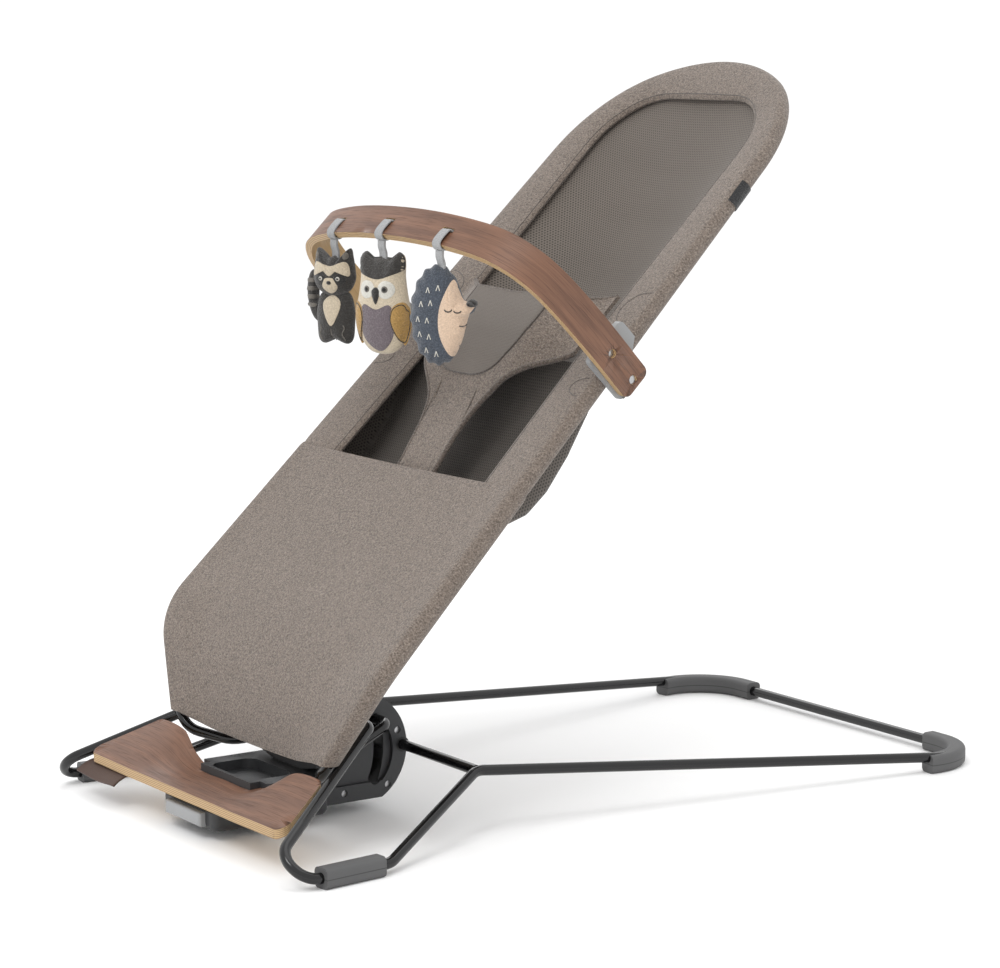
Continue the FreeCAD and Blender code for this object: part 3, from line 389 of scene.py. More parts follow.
def outward(obj: bpy.types.Object) -> None:
    """Merges doubles and turns all faces outwards.

    Args:
        obj: the object to clean.
    """
    select_only(obj)
    bpy.ops.object.mode_set(mode="EDIT")
    bpy.ops.mesh.select_all(action="SELECT")
    bpy.ops.mesh.remove_doubles(threshold=0.00002)
    bpy.ops.mesh.normals_make_consistent(inside=False)
    bpy.ops.object.mode_set(mode="OBJECT")


def join(name: str, parts: Sequence[bpy.types.Object]) -> bpy.types.Object:
    """Joins several objects into one, under this name.

    Args:
        name: the joined object's name.
        parts: the objects to join.

    Returns:
        The one object.
    """
    bpy.ops.object.select_all(action="DESELECT")
    for part in parts:
        part.select_set(True)
    bpy.context.view_layer.objects.active = parts[0]
    if len(parts) > 1:
        bpy.ops.object.join()
    parts[0].name = name
    parts[0].data.name = name
    return parts[0]


def loft(name: str, rings: Sequence[Sequence[Vector]], closed: bool = True, capped: bool = True,
         looped: bool = False) -> bpy.types.Object:
    """A surface through rings of points.

    Args:
        name: the new object's name.
        rings: rings with the same number of points each.
        closed: whether each ring closes on itself.
        capped: whether the first and last rings are filled.
        looped: whether the last ring joins the first.

    Returns:
        The new object.
    """
    count = len(rings[0])
    verts = [p for ring in rings for p in ring]
    faces: list[tuple[int, ...]] = []
    rows = len(rings) if looped else len(rings) - 1
    for i in range(rows):
        j = (i + 1) % len(rings)
        for k in range(count if closed else count - 1):
            m = (k + 1) % count
            faces.append((i * count + k, i * count + m, j * count + m, j * count + k))
    if capped and not looped:
        faces.append(tuple(reversed(range(count))))
        last = (len(rings) - 1) * count
        faces.append(tuple(range(last, last + count)))
    mesh = bpy.data.meshes.new(name)
    mesh.from_pydata([tuple(v) for v in verts], [], faces)
    mesh.update()
    return make_object(name, mesh)


def tube(name: str, path: Sequence[Vector], radius: float, sides: int = 16, looped: bool = False) -> bpy.types.Object:
    """A round tube along a path.

    Args:
        name: the new object's name.
        path: the points of its centre line.
        radius: the tube's radius.
        sides: how many sides its section has.
        looped: whether the path closes on itself.

    Returns:
        The new object.
    """
    rings = []
    count = len(path)
    guide: Optional[Vector] = None
    for i, point in enumerate(path):
        before = path[(i - 1) % count] if looped or i > 0 else path[0]
        after = path[(i + 1) % count] if looped or i < count - 1 else path[-1]
        along = (after - before).normalized()
        if guide is None:
            guide = along.orthogonal().normalized()
        guide = (guide - along * guide.dot(along)).normalized()
        side = along.cross(guide)
        rings.append([
            point + (guide * math.cos(a) + side * math.sin(a)) * radius
            for a in (2 * math.pi * k / sides for k in range(sides))
        ])
    return loft(name, rings, looped=looped, capped=not looped)


def band(name: str, path: Sequence[Vector], half: Vector, thickness: float, looped: bool = False) -> bpy.types.Object:
    """A flat strap along a path.

    Args:
        name: the new object's name.
        path: the points of its middle line.
        half: half its width, as a vector.
        thickness: how thick it is.
        looped: whether the path closes on itself.

    Returns:
        The new object.
    """
    rings = []
    count = len(path)
    for i, point in enumerate(path):
        before = path[(i - 1) % count] if looped or i > 0 else path[0]
        after = path[(i + 1) % count] if looped or i < count - 1 else path[-1]
        off = (after - before).normalized().cross(half.normalized()) * (thickness / 2)
        edge = half * 0.94
        rings.append([point + half, point + edge + off, point - edge + off, point - half,
                      point - edge - off, point + edge - off])
    return loft(name, rings, looped=looped, capped=not looped)


def set_uv(obj: bpy.types.Object, reading: Callable[[Vector], Point]) -> None:
    """Writes a UV map, in metres, from each corner's place.

    Args:
        obj: the object to map.
        reading: gives the map's (u, v) for a point.
    """
    layer = obj.data.uv_layers.get("weave") or obj.data.uv_layers.new(name="weave")
    mesh = obj.data
    for loop in mesh.loops:
        layer.data[loop.index].uv = reading(mesh.vertices[loop.vertex_index].co)


def seat_uv(p: Vector) -> Point:
    """A fabric's (x, s) in metres, for a point on or near the seat's plane.

    Args:
        p: a point in the frame.

    Returns:
        Its (x, s).
    """
    return (p.x, (p - Vector((0.0, SEAT.flat_y, SEAT.flat_z))).dot(SEAT.up))


def copy_node(name: str, node: str) -> bpy.types.Object:
    """A merged copy of a CAD node's mesh, which takes the node's place.

    Args:
        name: the copy's name.
        node: the CAD node to copy.

    Returns:
        The copy.
    """
    source = frame["nodes"][node]
    source = bpy.data.objects[source] if isinstance(source, str) else source
    obj = make_object(name, source.data.copy())
    obj.data.materials.clear()
    outward(obj)
    return obj


def dress(obj: bpy.types.Object, *materials: bpy.types.Material) -> None:
    """Gives an object these material slots, in order.

    Args:
        obj: the object to dress.
        materials: its materials, one for each slot.
    """
    obj.data.materials.clear()
    for material in materials:
        obj.data.materials.append(material)


def settle(obj: bpy.types.Object, body: str, nodes: Iterable[str],
           bend: Optional[tuple[str, Sequence[float], Sequence[float]]] = None) -> bpy.types.Object:
    """Makes a finished piece ride on a body and hides the CAD nodes that it stands for; with bend given it stays on
    no body.

    Args:
        obj: the finished piece.
        body: the body that it rides on; with bend given, it is only named in the log.
        nodes: the CAD nodes that it stands for.
        bend: the other body, start and end of a piece meant to bend between two; only unpacked, not used, and nothing
            bends.

    Returns:
        The same piece.
    """
    if bend is None:
        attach(obj, body)
    else:
        other, start, end = bend
        tuple(start)
        tuple(end)
        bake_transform(obj)
    names = list(nodes)
    if names:
        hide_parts(*names)
    LOG.info("%s: %d faces on %s", obj.name, len(obj.data.polygons), body)
    return obj


# ---------------------------------------------------------------- materials


class Space(Enum):
    """Where a material reads its pattern from."""

    OBJECT = "Object"
    WEAVE = "UV"


class Graph:
    """A small builder for one node tree."""

    def __init__(self, tree: bpy.types.NodeTree) -> None:
        """Starts on an empty tree.

        Args:
            tree: the node tree to fill.
        """
        self.tree = tree
        self.tree.nodes.clear()

    def add(self, kind: str, **values: object) -> bpy.types.Node:
        """Adds a node and sets its properties and inputs.

        Args:
            kind: the node's type name, without its ShaderNode prefix.
            values: property names, or input names with spaces as underscores.

        Returns:
            The node.
        """
        prefix = "" if kind.startswith("NodeGroup") else "ShaderNode"
        node = self.tree.nodes.new(prefix + kind)
        for key, value in values.items():
            if hasattr(node, key) and not isinstance(value, bpy.types.NodeSocket):
                setattr(node, key, value)
                continue
            socket = node.inputs[key.replace("_", " ")]
            if isinstance(value, bpy.types.NodeSocket):
                self.tree.links.new(value, socket)
            else:
                socket.default_value = value
        return node

    def math(self, operation: str, *inputs: object) -> bpy.types.NodeSocket:
        """A Math node's result.

        Args:
            operation: the Math node's operation.
            inputs: sockets or plain numbers.

        Returns:
            The result's socket.
        """
        node = self.tree.nodes.new("ShaderNodeMath")
        node.operation = operation
        for socket, value in zip(node.inputs, inputs):
            if isinstance(value, bpy.types.NodeSocket):
                self.tree.links.new(value, socket)
            else:
                socket.default_value = value
        return node.outputs[0]

    def mix(self, factor: object, a: object, b: object) -> bpy.types.NodeSocket:
        """A colour mixed between a and b.

        Args:
            factor: 0 for a, 1 for b.
            a: the first colour.
            b: the second colour.

        Returns:
            The colour's socket.
        """
        node = self.tree.nodes.new("ShaderNodeMix")
        node.data_type = "RGBA"
        for index, value in ((0, factor), (6, a), (7, b)):
            if isinstance(value, bpy.types.NodeSocket):
                self.tree.links.new(value, node.inputs[index])
            elif index:
                node.inputs[index].default_value = (*value, 1.0)
            else:
                node.inputs[index].default_value = value
        return node.outputs[2]

    def ramp(self, factor: bpy.types.NodeSocket, low: float, high: float) -> bpy.types.NodeSocket:
        """A value stretched so that low reads 0 and high reads 1.

        Args:
            factor: the value to stretch.
            low: what reads 0.
            high: what reads 1.

        Returns:
            The value's socket.
        """
        node = self.tree.nodes.new("ShaderNodeMapRange")
        self.tree.links.new(factor, node.inputs["Value"])
        node.inputs["From Min"].default_value = low
        node.inputs["From Max"].default_value = high
        return node.outputs["Result"]


def new_group(name: str, inputs: Sequence[tuple[str, str, float]], outputs: Sequence[tuple[str, str]]) \
        -> tuple[bpy.types.NodeTree, Graph, bpy.types.Node, bpy.types.Node]:
    """A shader node group with named sockets.

    Args:
        name: the group's name.
        inputs: each input's name, socket type and default.
        outputs: each output's name and socket type.

    Returns:
        The tree, its builder, its input node and its output node.
    """
    tree = bpy.data.node_groups.new(name, "ShaderNodeTree")
    graph = Graph(tree)
    for label, kind, default in inputs:
        socket = tree.interface.new_socket(name=label, in_out="INPUT", socket_type=kind)
        if kind == "NodeSocketFloat":
            socket.default_value = default
    for label, kind in outputs:
        tree.interface.new_socket(name=label, in_out="OUTPUT", socket_type=kind)
    return tree, graph, graph.add("NodeGroupInput"), graph.add("NodeGroupOutput")


class Effects:
    """The pattern groups that several materials share."""

    def __init__(self) -> None:
        """Builds each group once."""
        self.melange = self.build_melange()
        self.netting = self.build_netting()
        self.grain = self.build_grain()
        self.pebble = self.build_pebble()

    def build_melange(self) -> bpy.types.NodeTree:
        """Short light and dark threads, as in a heather knit."""
        tree, g, given, result = new_group(
            "melange", [("Vector", "NodeSocketVector", 0.0), ("Pitch", "NodeSocketFloat", 0.0014)],
            [("Light", "NodeSocketFloat"), ("Dark", "NodeSocketFloat"), ("Height", "NodeSocketFloat")])
        scale = g.math("DIVIDE", 1.0, given.outputs["Pitch"])
        tilt = g.add("Mapping", Vector=given.outputs["Vector"], Rotation=(0.3, 0.5, 0.6), Scale=(1.0, 0.45, 1.0))
        fine = g.add("TexNoise", Vector=tilt.outputs[0], Scale=scale, Detail=2.0, Roughness=0.6)
        other = g.add("Mapping", Vector=given.outputs["Vector"], Rotation=(0.1, -0.6, -0.5), Scale=(0.5, 1.0, 0.8),
                      Location=(3.1, 1.7, 0.4))
        second = g.add("TexNoise", Vector=other.outputs[0], Scale=scale, Detail=2.0, Roughness=0.6)
        broad = g.add("TexNoise", Vector=given.outputs["Vector"], Scale=14.0, Detail=1.0)
        light = g.ramp(fine.outputs[0], 0.47, 0.66)
        dark = g.ramp(second.outputs[0], 0.46, 0.64)
        cloud = g.ramp(broad.outputs[0], 0.2, 0.8)
        g.tree.links.new(g.math("MULTIPLY", light, g.math("MULTIPLY_ADD", cloud, 0.4, 0.7)), result.inputs["Light"])
        g.tree.links.new(dark, result.inputs["Dark"])
        g.tree.links.new(g.math("SUBTRACT", light, dark), result.inputs["Height"])
        return tree

    def build_netting(self) -> bpy.types.NodeTree:
        """Rows of small staggered holes, as in a spacer mesh."""
        tree, g, given, result = new_group(
            "netting", [("Vector", "NodeSocketVector", 0.0), ("Pitch", "NodeSocketFloat", 0.0026)],
            [("Hole", "NodeSocketFloat"), ("Height", "NodeSocketFloat")])
        scale = g.math("DIVIDE", 1.0, given.outputs["Pitch"])
        parts = g.add("SeparateXYZ", Vector=given.outputs["Vector"])
        u = g.math("MULTIPLY", parts.outputs[0], scale)
        v = g.math("MULTIPLY", parts.outputs[1], scale)
        row = g.math("FLOOR", g.math("MULTIPLY", v, 1.155))
        shift = g.math("MULTIPLY", g.math("FLOORED_MODULO", row, 2.0), 0.5)
        du = g.math("SUBTRACT", g.math("FRACT", g.math("ADD", u, shift)), 0.5)
        dv = g.math("MULTIPLY", g.math("SUBTRACT", g.math("FRACT", g.math("MULTIPLY", v, 1.155)), 0.5), 0.866)
        far = g.math("SQRT", g.math("ADD", g.math("MULTIPLY", du, du), g.math("MULTIPLY", dv, dv)))
        hole = g.math("SUBTRACT", 1.0, g.ramp(far, 0.2, 0.36))
        g.tree.links.new(hole, result.inputs["Hole"])
        g.tree.links.new(g.math("SUBTRACT", 1.0, hole), result.inputs["Height"])
        return tree

    def build_grain(self) -> bpy.types.NodeTree:
        """Long streaks and pores along X, as in a sliced veneer."""
        tree, g, given, result = new_group(
            "veneer", [("Vector", "NodeSocketVector", 0.0), ("Figure", "NodeSocketFloat", 1.0)],
            [("Band", "NodeSocketFloat"), ("Pore", "NodeSocketFloat")])
        wide = g.add("Mapping", Vector=given.outputs["Vector"], Scale=(7.0, 110.0, 110.0))
        warp = g.add("TexNoise", Vector=wide.outputs[0], Scale=1.0, Detail=4.0, Roughness=0.62, Distortion=0.5)
        fine = g.add("Mapping", Vector=given.outputs["Vector"], Scale=(26.0, 1100.0, 1100.0))
        pore = g.add("TexNoise", Vector=fine.outputs[0], Scale=1.0, Detail=2.0, Roughness=0.7)
        band_mask = g.math("MULTIPLY", g.ramp(warp.outputs[0], 0.34, 0.68), given.outputs["Figure"])
        g.tree.links.new(band_mask, result.inputs["Band"])
        g.tree.links.new(g.ramp(pore.outputs[0], 0.52, 0.66), result.inputs["Pore"])
        return tree

    def build_pebble(self) -> bpy.types.NodeTree:
        """A fine irregular surface, as on moulded plastic, rubber or felt."""
        tree, g, given, result = new_group(
            "pebble", [("Vector", "NodeSocketVector", 0.0), ("Pitch", "NodeSocketFloat", 0.0008)],
            [("Height", "NodeSocketFloat"), ("Cloud", "NodeSocketFloat")])
        scale = g.math("DIVIDE", 1.0, given.outputs["Pitch"])
        fine = g.add("TexNoise", Vector=given.outputs["Vector"], Scale=scale, Detail=2.0, Roughness=0.6)
        broad = g.add("TexNoise", Vector=given.outputs["Vector"], Scale=9.0, Detail=3.0)
        g.tree.links.new(fine.outputs[0], result.inputs["Height"])
        g.tree.links.new(g.ramp(broad.outputs[0], 0.3, 0.7), result.inputs["Cloud"])
        return tree


def start_material(name: str) -> tuple[bpy.types.Material, Graph, bpy.types.Node]:
    """A new material with a Principled shader wired to its output.

    Args:
        name: the material's name.

    Returns:
        The material, its graph and its shader.
    """
    material = bpy.data.materials.new(name)
    material.use_nodes = True
    g = Graph(material.node_tree)
    shader = g.add("BsdfPrincipled")
    g.add("OutputMaterial", Surface=shader.outputs[0])
    return material, g, shader


def read_space(g: Graph, space: Space) -> bpy.types.NodeSocket:
    """The coordinates that a pattern is laid on.

    Args:
        g: the material's graph.
        space: which coordinates to read.

    Returns:
        The coordinates' socket.
    """
    if space is Space.WEAVE:
        return g.add("UVMap", uv_map="weave").outputs[0]
    return g.add("TexCoord").outputs["Object"]


def use_group(g: Graph, tree: bpy.types.NodeTree, **values: object) -> bpy.types.Node:
    """Places a shared group in a material, with its own values.

    Args:
        g: the material's graph.
        tree: the shared group.
        values: the group's inputs, by name.

    Returns:
        The group's node.
    """
    node = g.tree.nodes.new("ShaderNodeGroup")
    node.node_tree = tree
    for key, value in values.items():
        socket = node.inputs[key]
        if isinstance(value, bpy.types.NodeSocket):
            g.tree.links.new(value, socket)
        else:
            socket.default_value = value
    return node


def relief(g: Graph, shader: bpy.types.Node, height: bpy.types.NodeSocket, distance: float,
           strength: float = 1.0) -> None:
    """Puts a height pattern on the shader's normal.

    Args:
        g: the material's graph.
        shader: the shader to bump.
        height: the height pattern.
        distance: its depth in metres.
        strength: its share, 0 to 1.
    """
    bump = g.add("Bump", Height=height, Distance=distance, Strength=strength)
    g.tree.links.new(bump.outputs[0], shader.inputs["Normal"])


@dataclass(frozen=True)
class Heather:
    """A heather knit of light and dark threads."""

    name: str
    base: Colour
    light: Colour
    dark: Colour
    pitch: float = 0.0012

    def build(self, effects: Effects) -> bpy.types.Material:
        """Makes the material.

        Args:
            effects: the shared pattern groups.

        Returns:
            The finish's material.
        """
        material, g, shader = start_material(self.name)
        node = use_group(g, effects.melange, Vector=read_space(g, Space.OBJECT), Pitch=self.pitch)
        tone = g.mix(node.outputs["Light"], self.base, self.light)
        tone = g.mix(node.outputs["Dark"], tone, self.dark)
        g.tree.links.new(tone, shader.inputs["Base Color"])
        shader.inputs["Roughness"].default_value = 0.92
        shader.inputs["Sheen Weight"].default_value = 0.25
        shader.inputs["Sheen Roughness"].default_value = 0.5
        relief(g, shader, node.outputs["Height"], 0.0004, 0.8)
        return material


@dataclass(frozen=True)
class Netting:
    """A spacer mesh with rows of small holes."""

    name: str
    thread: Colour
    hole: Colour
    pitch: float = 0.0028

    def build(self, effects: Effects) -> bpy.types.Material:
        """Makes the material.

        Args:
            effects: the shared pattern groups.

        Returns:
            The finish's material.
        """
        material, g, shader = start_material(self.name)
        where = read_space(g, Space.WEAVE)
        node = use_group(g, effects.netting, Vector=where, Pitch=self.pitch)
        soft = use_group(g, effects.pebble, Vector=read_space(g, Space.OBJECT), Pitch=0.0006)
        tone = g.mix(g.math("MULTIPLY", soft.outputs["Cloud"], 0.35), self.thread,
                     tuple(c * 0.8 for c in self.thread))
        tone = g.mix(node.outputs["Hole"], tone, self.hole)
        g.tree.links.new(tone, shader.inputs["Base Color"])
        shader.inputs["Roughness"].default_value = 0.8
        shader.inputs["Sheen Weight"].default_value = 0.2
        relief(g, shader, node.outputs["Height"], 0.0004, 0.7)
        return material


@dataclass(frozen=True)
class Paint:
    """Glossy paint on steel."""

    name: str
    colour: Colour
    roughness: float = 0.10

    def build(self, effects: Effects) -> bpy.types.Material:
        """Makes the material.

        Args:
            effects: the shared pattern groups.

        Returns:
            The finish's material.
        """
        material, g, shader = start_material(self.name)
        node = use_group(g, effects.pebble, Vector=read_space(g, Space.OBJECT), Pitch=0.004)
        tone = g.mix(g.math("MULTIPLY", node.outputs["Cloud"], 0.4), self.colour, tuple(c * 1.5 for c in self.colour))
        g.tree.links.new(tone, shader.inputs["Base Color"])
        rough = g.math("MULTIPLY_ADD", node.outputs["Cloud"], 0.06, self.roughness)
        g.tree.links.new(rough, shader.inputs["Roughness"])
        shader.inputs["Specular IOR Level"].default_value = 0.5
        relief(g, shader, node.outputs["Height"], 0.00004, 0.4)
        return material


@dataclass(frozen=True)
class Moulded:
    """Moulded plastic or rubber with a fine surface."""

    name: str
    colour: Colour
    roughness: float
    pitch: float = 0.0007
    depth: float = 0.00006
    parting_z: Optional[float] = None

    def build(self, effects: Effects) -> bpy.types.Material:
        """Makes the material.

        Args:
            effects: the shared pattern groups.

        Returns:
            The finish's material.
        """
        material, g, shader = start_material(self.name)
        where = read_space(g, Space.OBJECT)
        node = use_group(g, effects.pebble, Vector=where, Pitch=self.pitch)
        tone = g.mix(node.outputs["Cloud"], tuple(c * 0.88 for c in self.colour),
                     tuple(c * 1.12 for c in self.colour))
        height = node.outputs["Height"]
        if self.parting_z is not None:
            z = g.add("SeparateXYZ", Vector=where).outputs[2]
            line = g.ramp(g.math("ABSOLUTE", g.math("SUBTRACT", z, self.parting_z)), 0.0002, 0.0006)
            tone = g.mix(line, tuple(c * 0.45 for c in self.colour), tone)
        g.tree.links.new(tone, shader.inputs["Base Color"])
        rough = g.math("MULTIPLY_ADD", height, 0.12, self.roughness - 0.06)
        g.tree.links.new(rough, shader.inputs["Roughness"])
        relief(g, shader, height, self.depth, 0.6)
        return material


@dataclass(frozen=True)
class Felt:
    """Pressed wool felt."""

    name: str
    colour: Colour
    fleck: float = 0.35

    def build(self, effects: Effects) -> bpy.types.Material:
        """Makes the material.

        Args:
            effects: the shared pattern groups.

        Returns:
            The finish's material.
        """
        material, g, shader = start_material(self.name)
        where = read_space(g, Space.OBJECT)
        node = use_group(g, effects.pebble, Vector=where, Pitch=0.0016)
        hair = use_group(g, effects.melange, Vector=where, Pitch=0.0011)
        tone = g.mix(node.outputs["Cloud"], tuple(c * 0.82 for c in self.colour), self.colour)
        lighter = tuple(min(1.0, c * 1.5 + 0.03) for c in self.colour)
        tone = g.mix(g.math("MULTIPLY", hair.outputs["Light"], self.fleck), tone, lighter)
        tone = g.mix(g.math("MULTIPLY", hair.outputs["Dark"], self.fleck), tone, tuple(c * 0.55 for c in self.colour))
        g.tree.links.new(tone, shader.inputs["Base Color"])
        shader.inputs["Roughness"].default_value = 0.95
        shader.inputs["Sheen Weight"].default_value = 0.35
        relief(g, shader, hair.outputs["Height"], 0.00035, 0.7)
        return material


@dataclass(frozen=True)
class Veneer:
    """A sliced wood veneer, laid on the weave map with its grain along U."""

    name: str
    base: Colour
    dark: Colour
    pore: Colour
    figure: float = 0.85

    def build(self, effects: Effects) -> bpy.types.Material:
        """Makes the material.

        Args:
            effects: the shared pattern groups.

        Returns:
            The finish's material.
        """
        material, g, shader = start_material(self.name)
        node = use_group(g, effects.grain, Vector=read_space(g, Space.WEAVE), Figure=self.figure)
        tone = g.mix(node.outputs["Band"], self.base, self.dark)
        tone = g.mix(g.math("MULTIPLY", node.outputs["Pore"], 0.55), tone, self.pore)
        g.tree.links.new(tone, shader.inputs["Base Color"])
        g.tree.links.new(g.math("MULTIPLY_ADD", node.outputs["Pore"], 0.16, 0.42), shader.inputs["Roughness"])
        relief(g, shader, g.math("SUBTRACT", 1.0, node.outputs["Pore"]), 0.00006, 0.5)
        return material


@dataclass(frozen=True)
class PlyEdge:
    """The edge of bent plywood: light and dark plies read from the weave map's V, in metres of depth."""

    name: str
    pale: Colour
    glue: Colour
    ply: float = 0.0016

    def build(self, effects: Effects) -> bpy.types.Material:
        """Makes the material.

        Args:
            effects: the shared pattern groups.

        Returns:
            The finish's material.
        """
        material, g, shader = start_material(self.name)
        where = read_space(g, Space.WEAVE)
        depth = g.add("SeparateXYZ", Vector=where).outputs[1]
        turn = g.math("FRACT", g.math("DIVIDE", depth, self.ply))
        line = g.ramp(g.math("ABSOLUTE", g.math("SUBTRACT", turn, 0.5)), 0.1, 0.22)
        node = use_group(g, effects.grain, Vector=where, Figure=1.0)
        tone = g.mix(g.math("MULTIPLY", node.outputs["Band"], 0.35), self.pale, tuple(c * 0.7 for c in self.pale))
        tone = g.mix(line, self.glue, tone)
        g.tree.links.new(tone, shader.inputs["Base Color"])
        shader.inputs["Roughness"].default_value = 0.55
        relief(g, shader, line, 0.0001, 0.5)
        return material


@dataclass(frozen=True)
class Metal:
    """Bare steel, lightly brushed."""

    name: str
    colour: Colour
    roughness: float = 0.3

    def build(self, effects: Effects) -> bpy.types.Material:
        """Makes the material.

        Args:
            effects: the shared pattern groups.

        Returns:
            The finish's material.
        """
        material, g, shader = start_material(self.name)
        node = use_group(g, effects.pebble, Vector=read_space(g, Space.OBJECT), Pitch=0.0005)
        tone = g.mix(node.outputs["Height"], tuple(c * 0.8 for c in self.colour), self.colour)
        g.tree.links.new(tone, shader.inputs["Base Color"])
        shader.inputs["Metallic"].default_value = 1.0
        g.tree.links.new(g.math("MULTIPLY_ADD", node.outputs["Height"], 0.2, self.roughness - 0.1),
                         shader.inputs["Roughness"])
        return material


class Finishes:
    """Every finish of the object, by name."""

    def __init__(self) -> None:
        """Builds them all."""
        effects = Effects()
        self.heather = Heather("heather_knit", (0.176, 0.139, 0.113), (0.300, 0.248, 0.207),
                               (0.092, 0.071, 0.057)).build(effects)
        self.binding = Heather("heather_binding", (0.120, 0.094, 0.077), (0.20, 0.165, 0.138),
                               (0.062, 0.048, 0.039)).build(effects)
        self.mesh = Netting("spacer_mesh", (0.150, 0.126, 0.106), (0.040, 0.032, 0.026)).build(effects)
        self.dark_mesh = Netting("sling_mesh", (0.105, 0.090, 0.077), (0.026, 0.021, 0.018), 0.0030).build(effects)
        self.bib_mesh = Netting("bib_mesh", (0.160, 0.135, 0.114), (0.066, 0.054, 0.045), 0.0017).build(effects)
        self.seam = Felt("seam_thread", (0.075, 0.06, 0.05), 0.2).build(effects)
        self.webbing = Felt("grey_webbing", (0.33, 0.335, 0.34), 0.25).build(effects)
        self.label = Felt("blank_label", (0.012, 0.012, 0.013), 0.2).build(effects)
        self.rod = Paint("black_gloss", (0.0035, 0.0035, 0.004)).build(effects)
        self.rubber = Moulded("grey_rubber", (0.085, 0.085, 0.086), 0.62, depth=0.00012,
                              parting_z=0.0084).build(effects)
        self.housing = Moulded("charcoal_plastic", (0.030, 0.031, 0.033), 0.46).build(effects)
        self.black = Moulded("black_plastic", (0.012, 0.012, 0.012), 0.5).build(effects)
        self.grey = Moulded("light_grey_plastic", (0.27, 0.275, 0.28), 0.42).build(effects)
        self.steel = Metal("bare_steel", (0.55, 0.55, 0.56)).build(effects)
        self.leather = Moulded("dark_leather", (0.065, 0.035, 0.025), 0.6, 0.0016, 0.0003).build(effects)
        self.walnut = Veneer("walnut", (0.205, 0.098, 0.056), (0.095, 0.042, 0.024),
                             (0.045, 0.020, 0.012)).build(effects)
        self.maple = Veneer("maple", (0.60, 0.42, 0.225), (0.50, 0.33, 0.16), (0.36, 0.22, 0.10), 0.6).build(effects)
        self.plies = PlyEdge("ply_edge", (0.56, 0.385, 0.20), (0.20, 0.11, 0.05)).build(effects)
        self.charcoal_felt = Felt("charcoal_felt", (0.032, 0.029, 0.026), 0.55).build(effects)
        self.black_felt = Felt("black_felt", (0.02, 0.019, 0.018), 0.4).build(effects)
        self.smoke_felt = Felt("smoke_felt", (0.16, 0.145, 0.125), 0.4).build(effects)
        self.cream_felt = Felt("cream_felt", (0.60, 0.51, 0.38), 0.35).build(effects)
        self.white_felt = Felt("white_felt", (0.66, 0.64, 0.58), 0.2).build(effects)
        self.plum_felt = Felt("plum_felt", (0.150, 0.122, 0.135), 0.55).build(effects)
        self.mustard_felt = Felt("mustard_felt", (0.42, 0.25, 0.075), 0.45).build(effects)
        self.slate_felt = Felt("slate_felt", (0.052, 0.064, 0.085), 0.7).build(effects)
        self.peach_felt = Felt("peach_felt", (0.66, 0.49, 0.36), 0.3).build(effects)


# ---------------------------------------------------------------- fabric


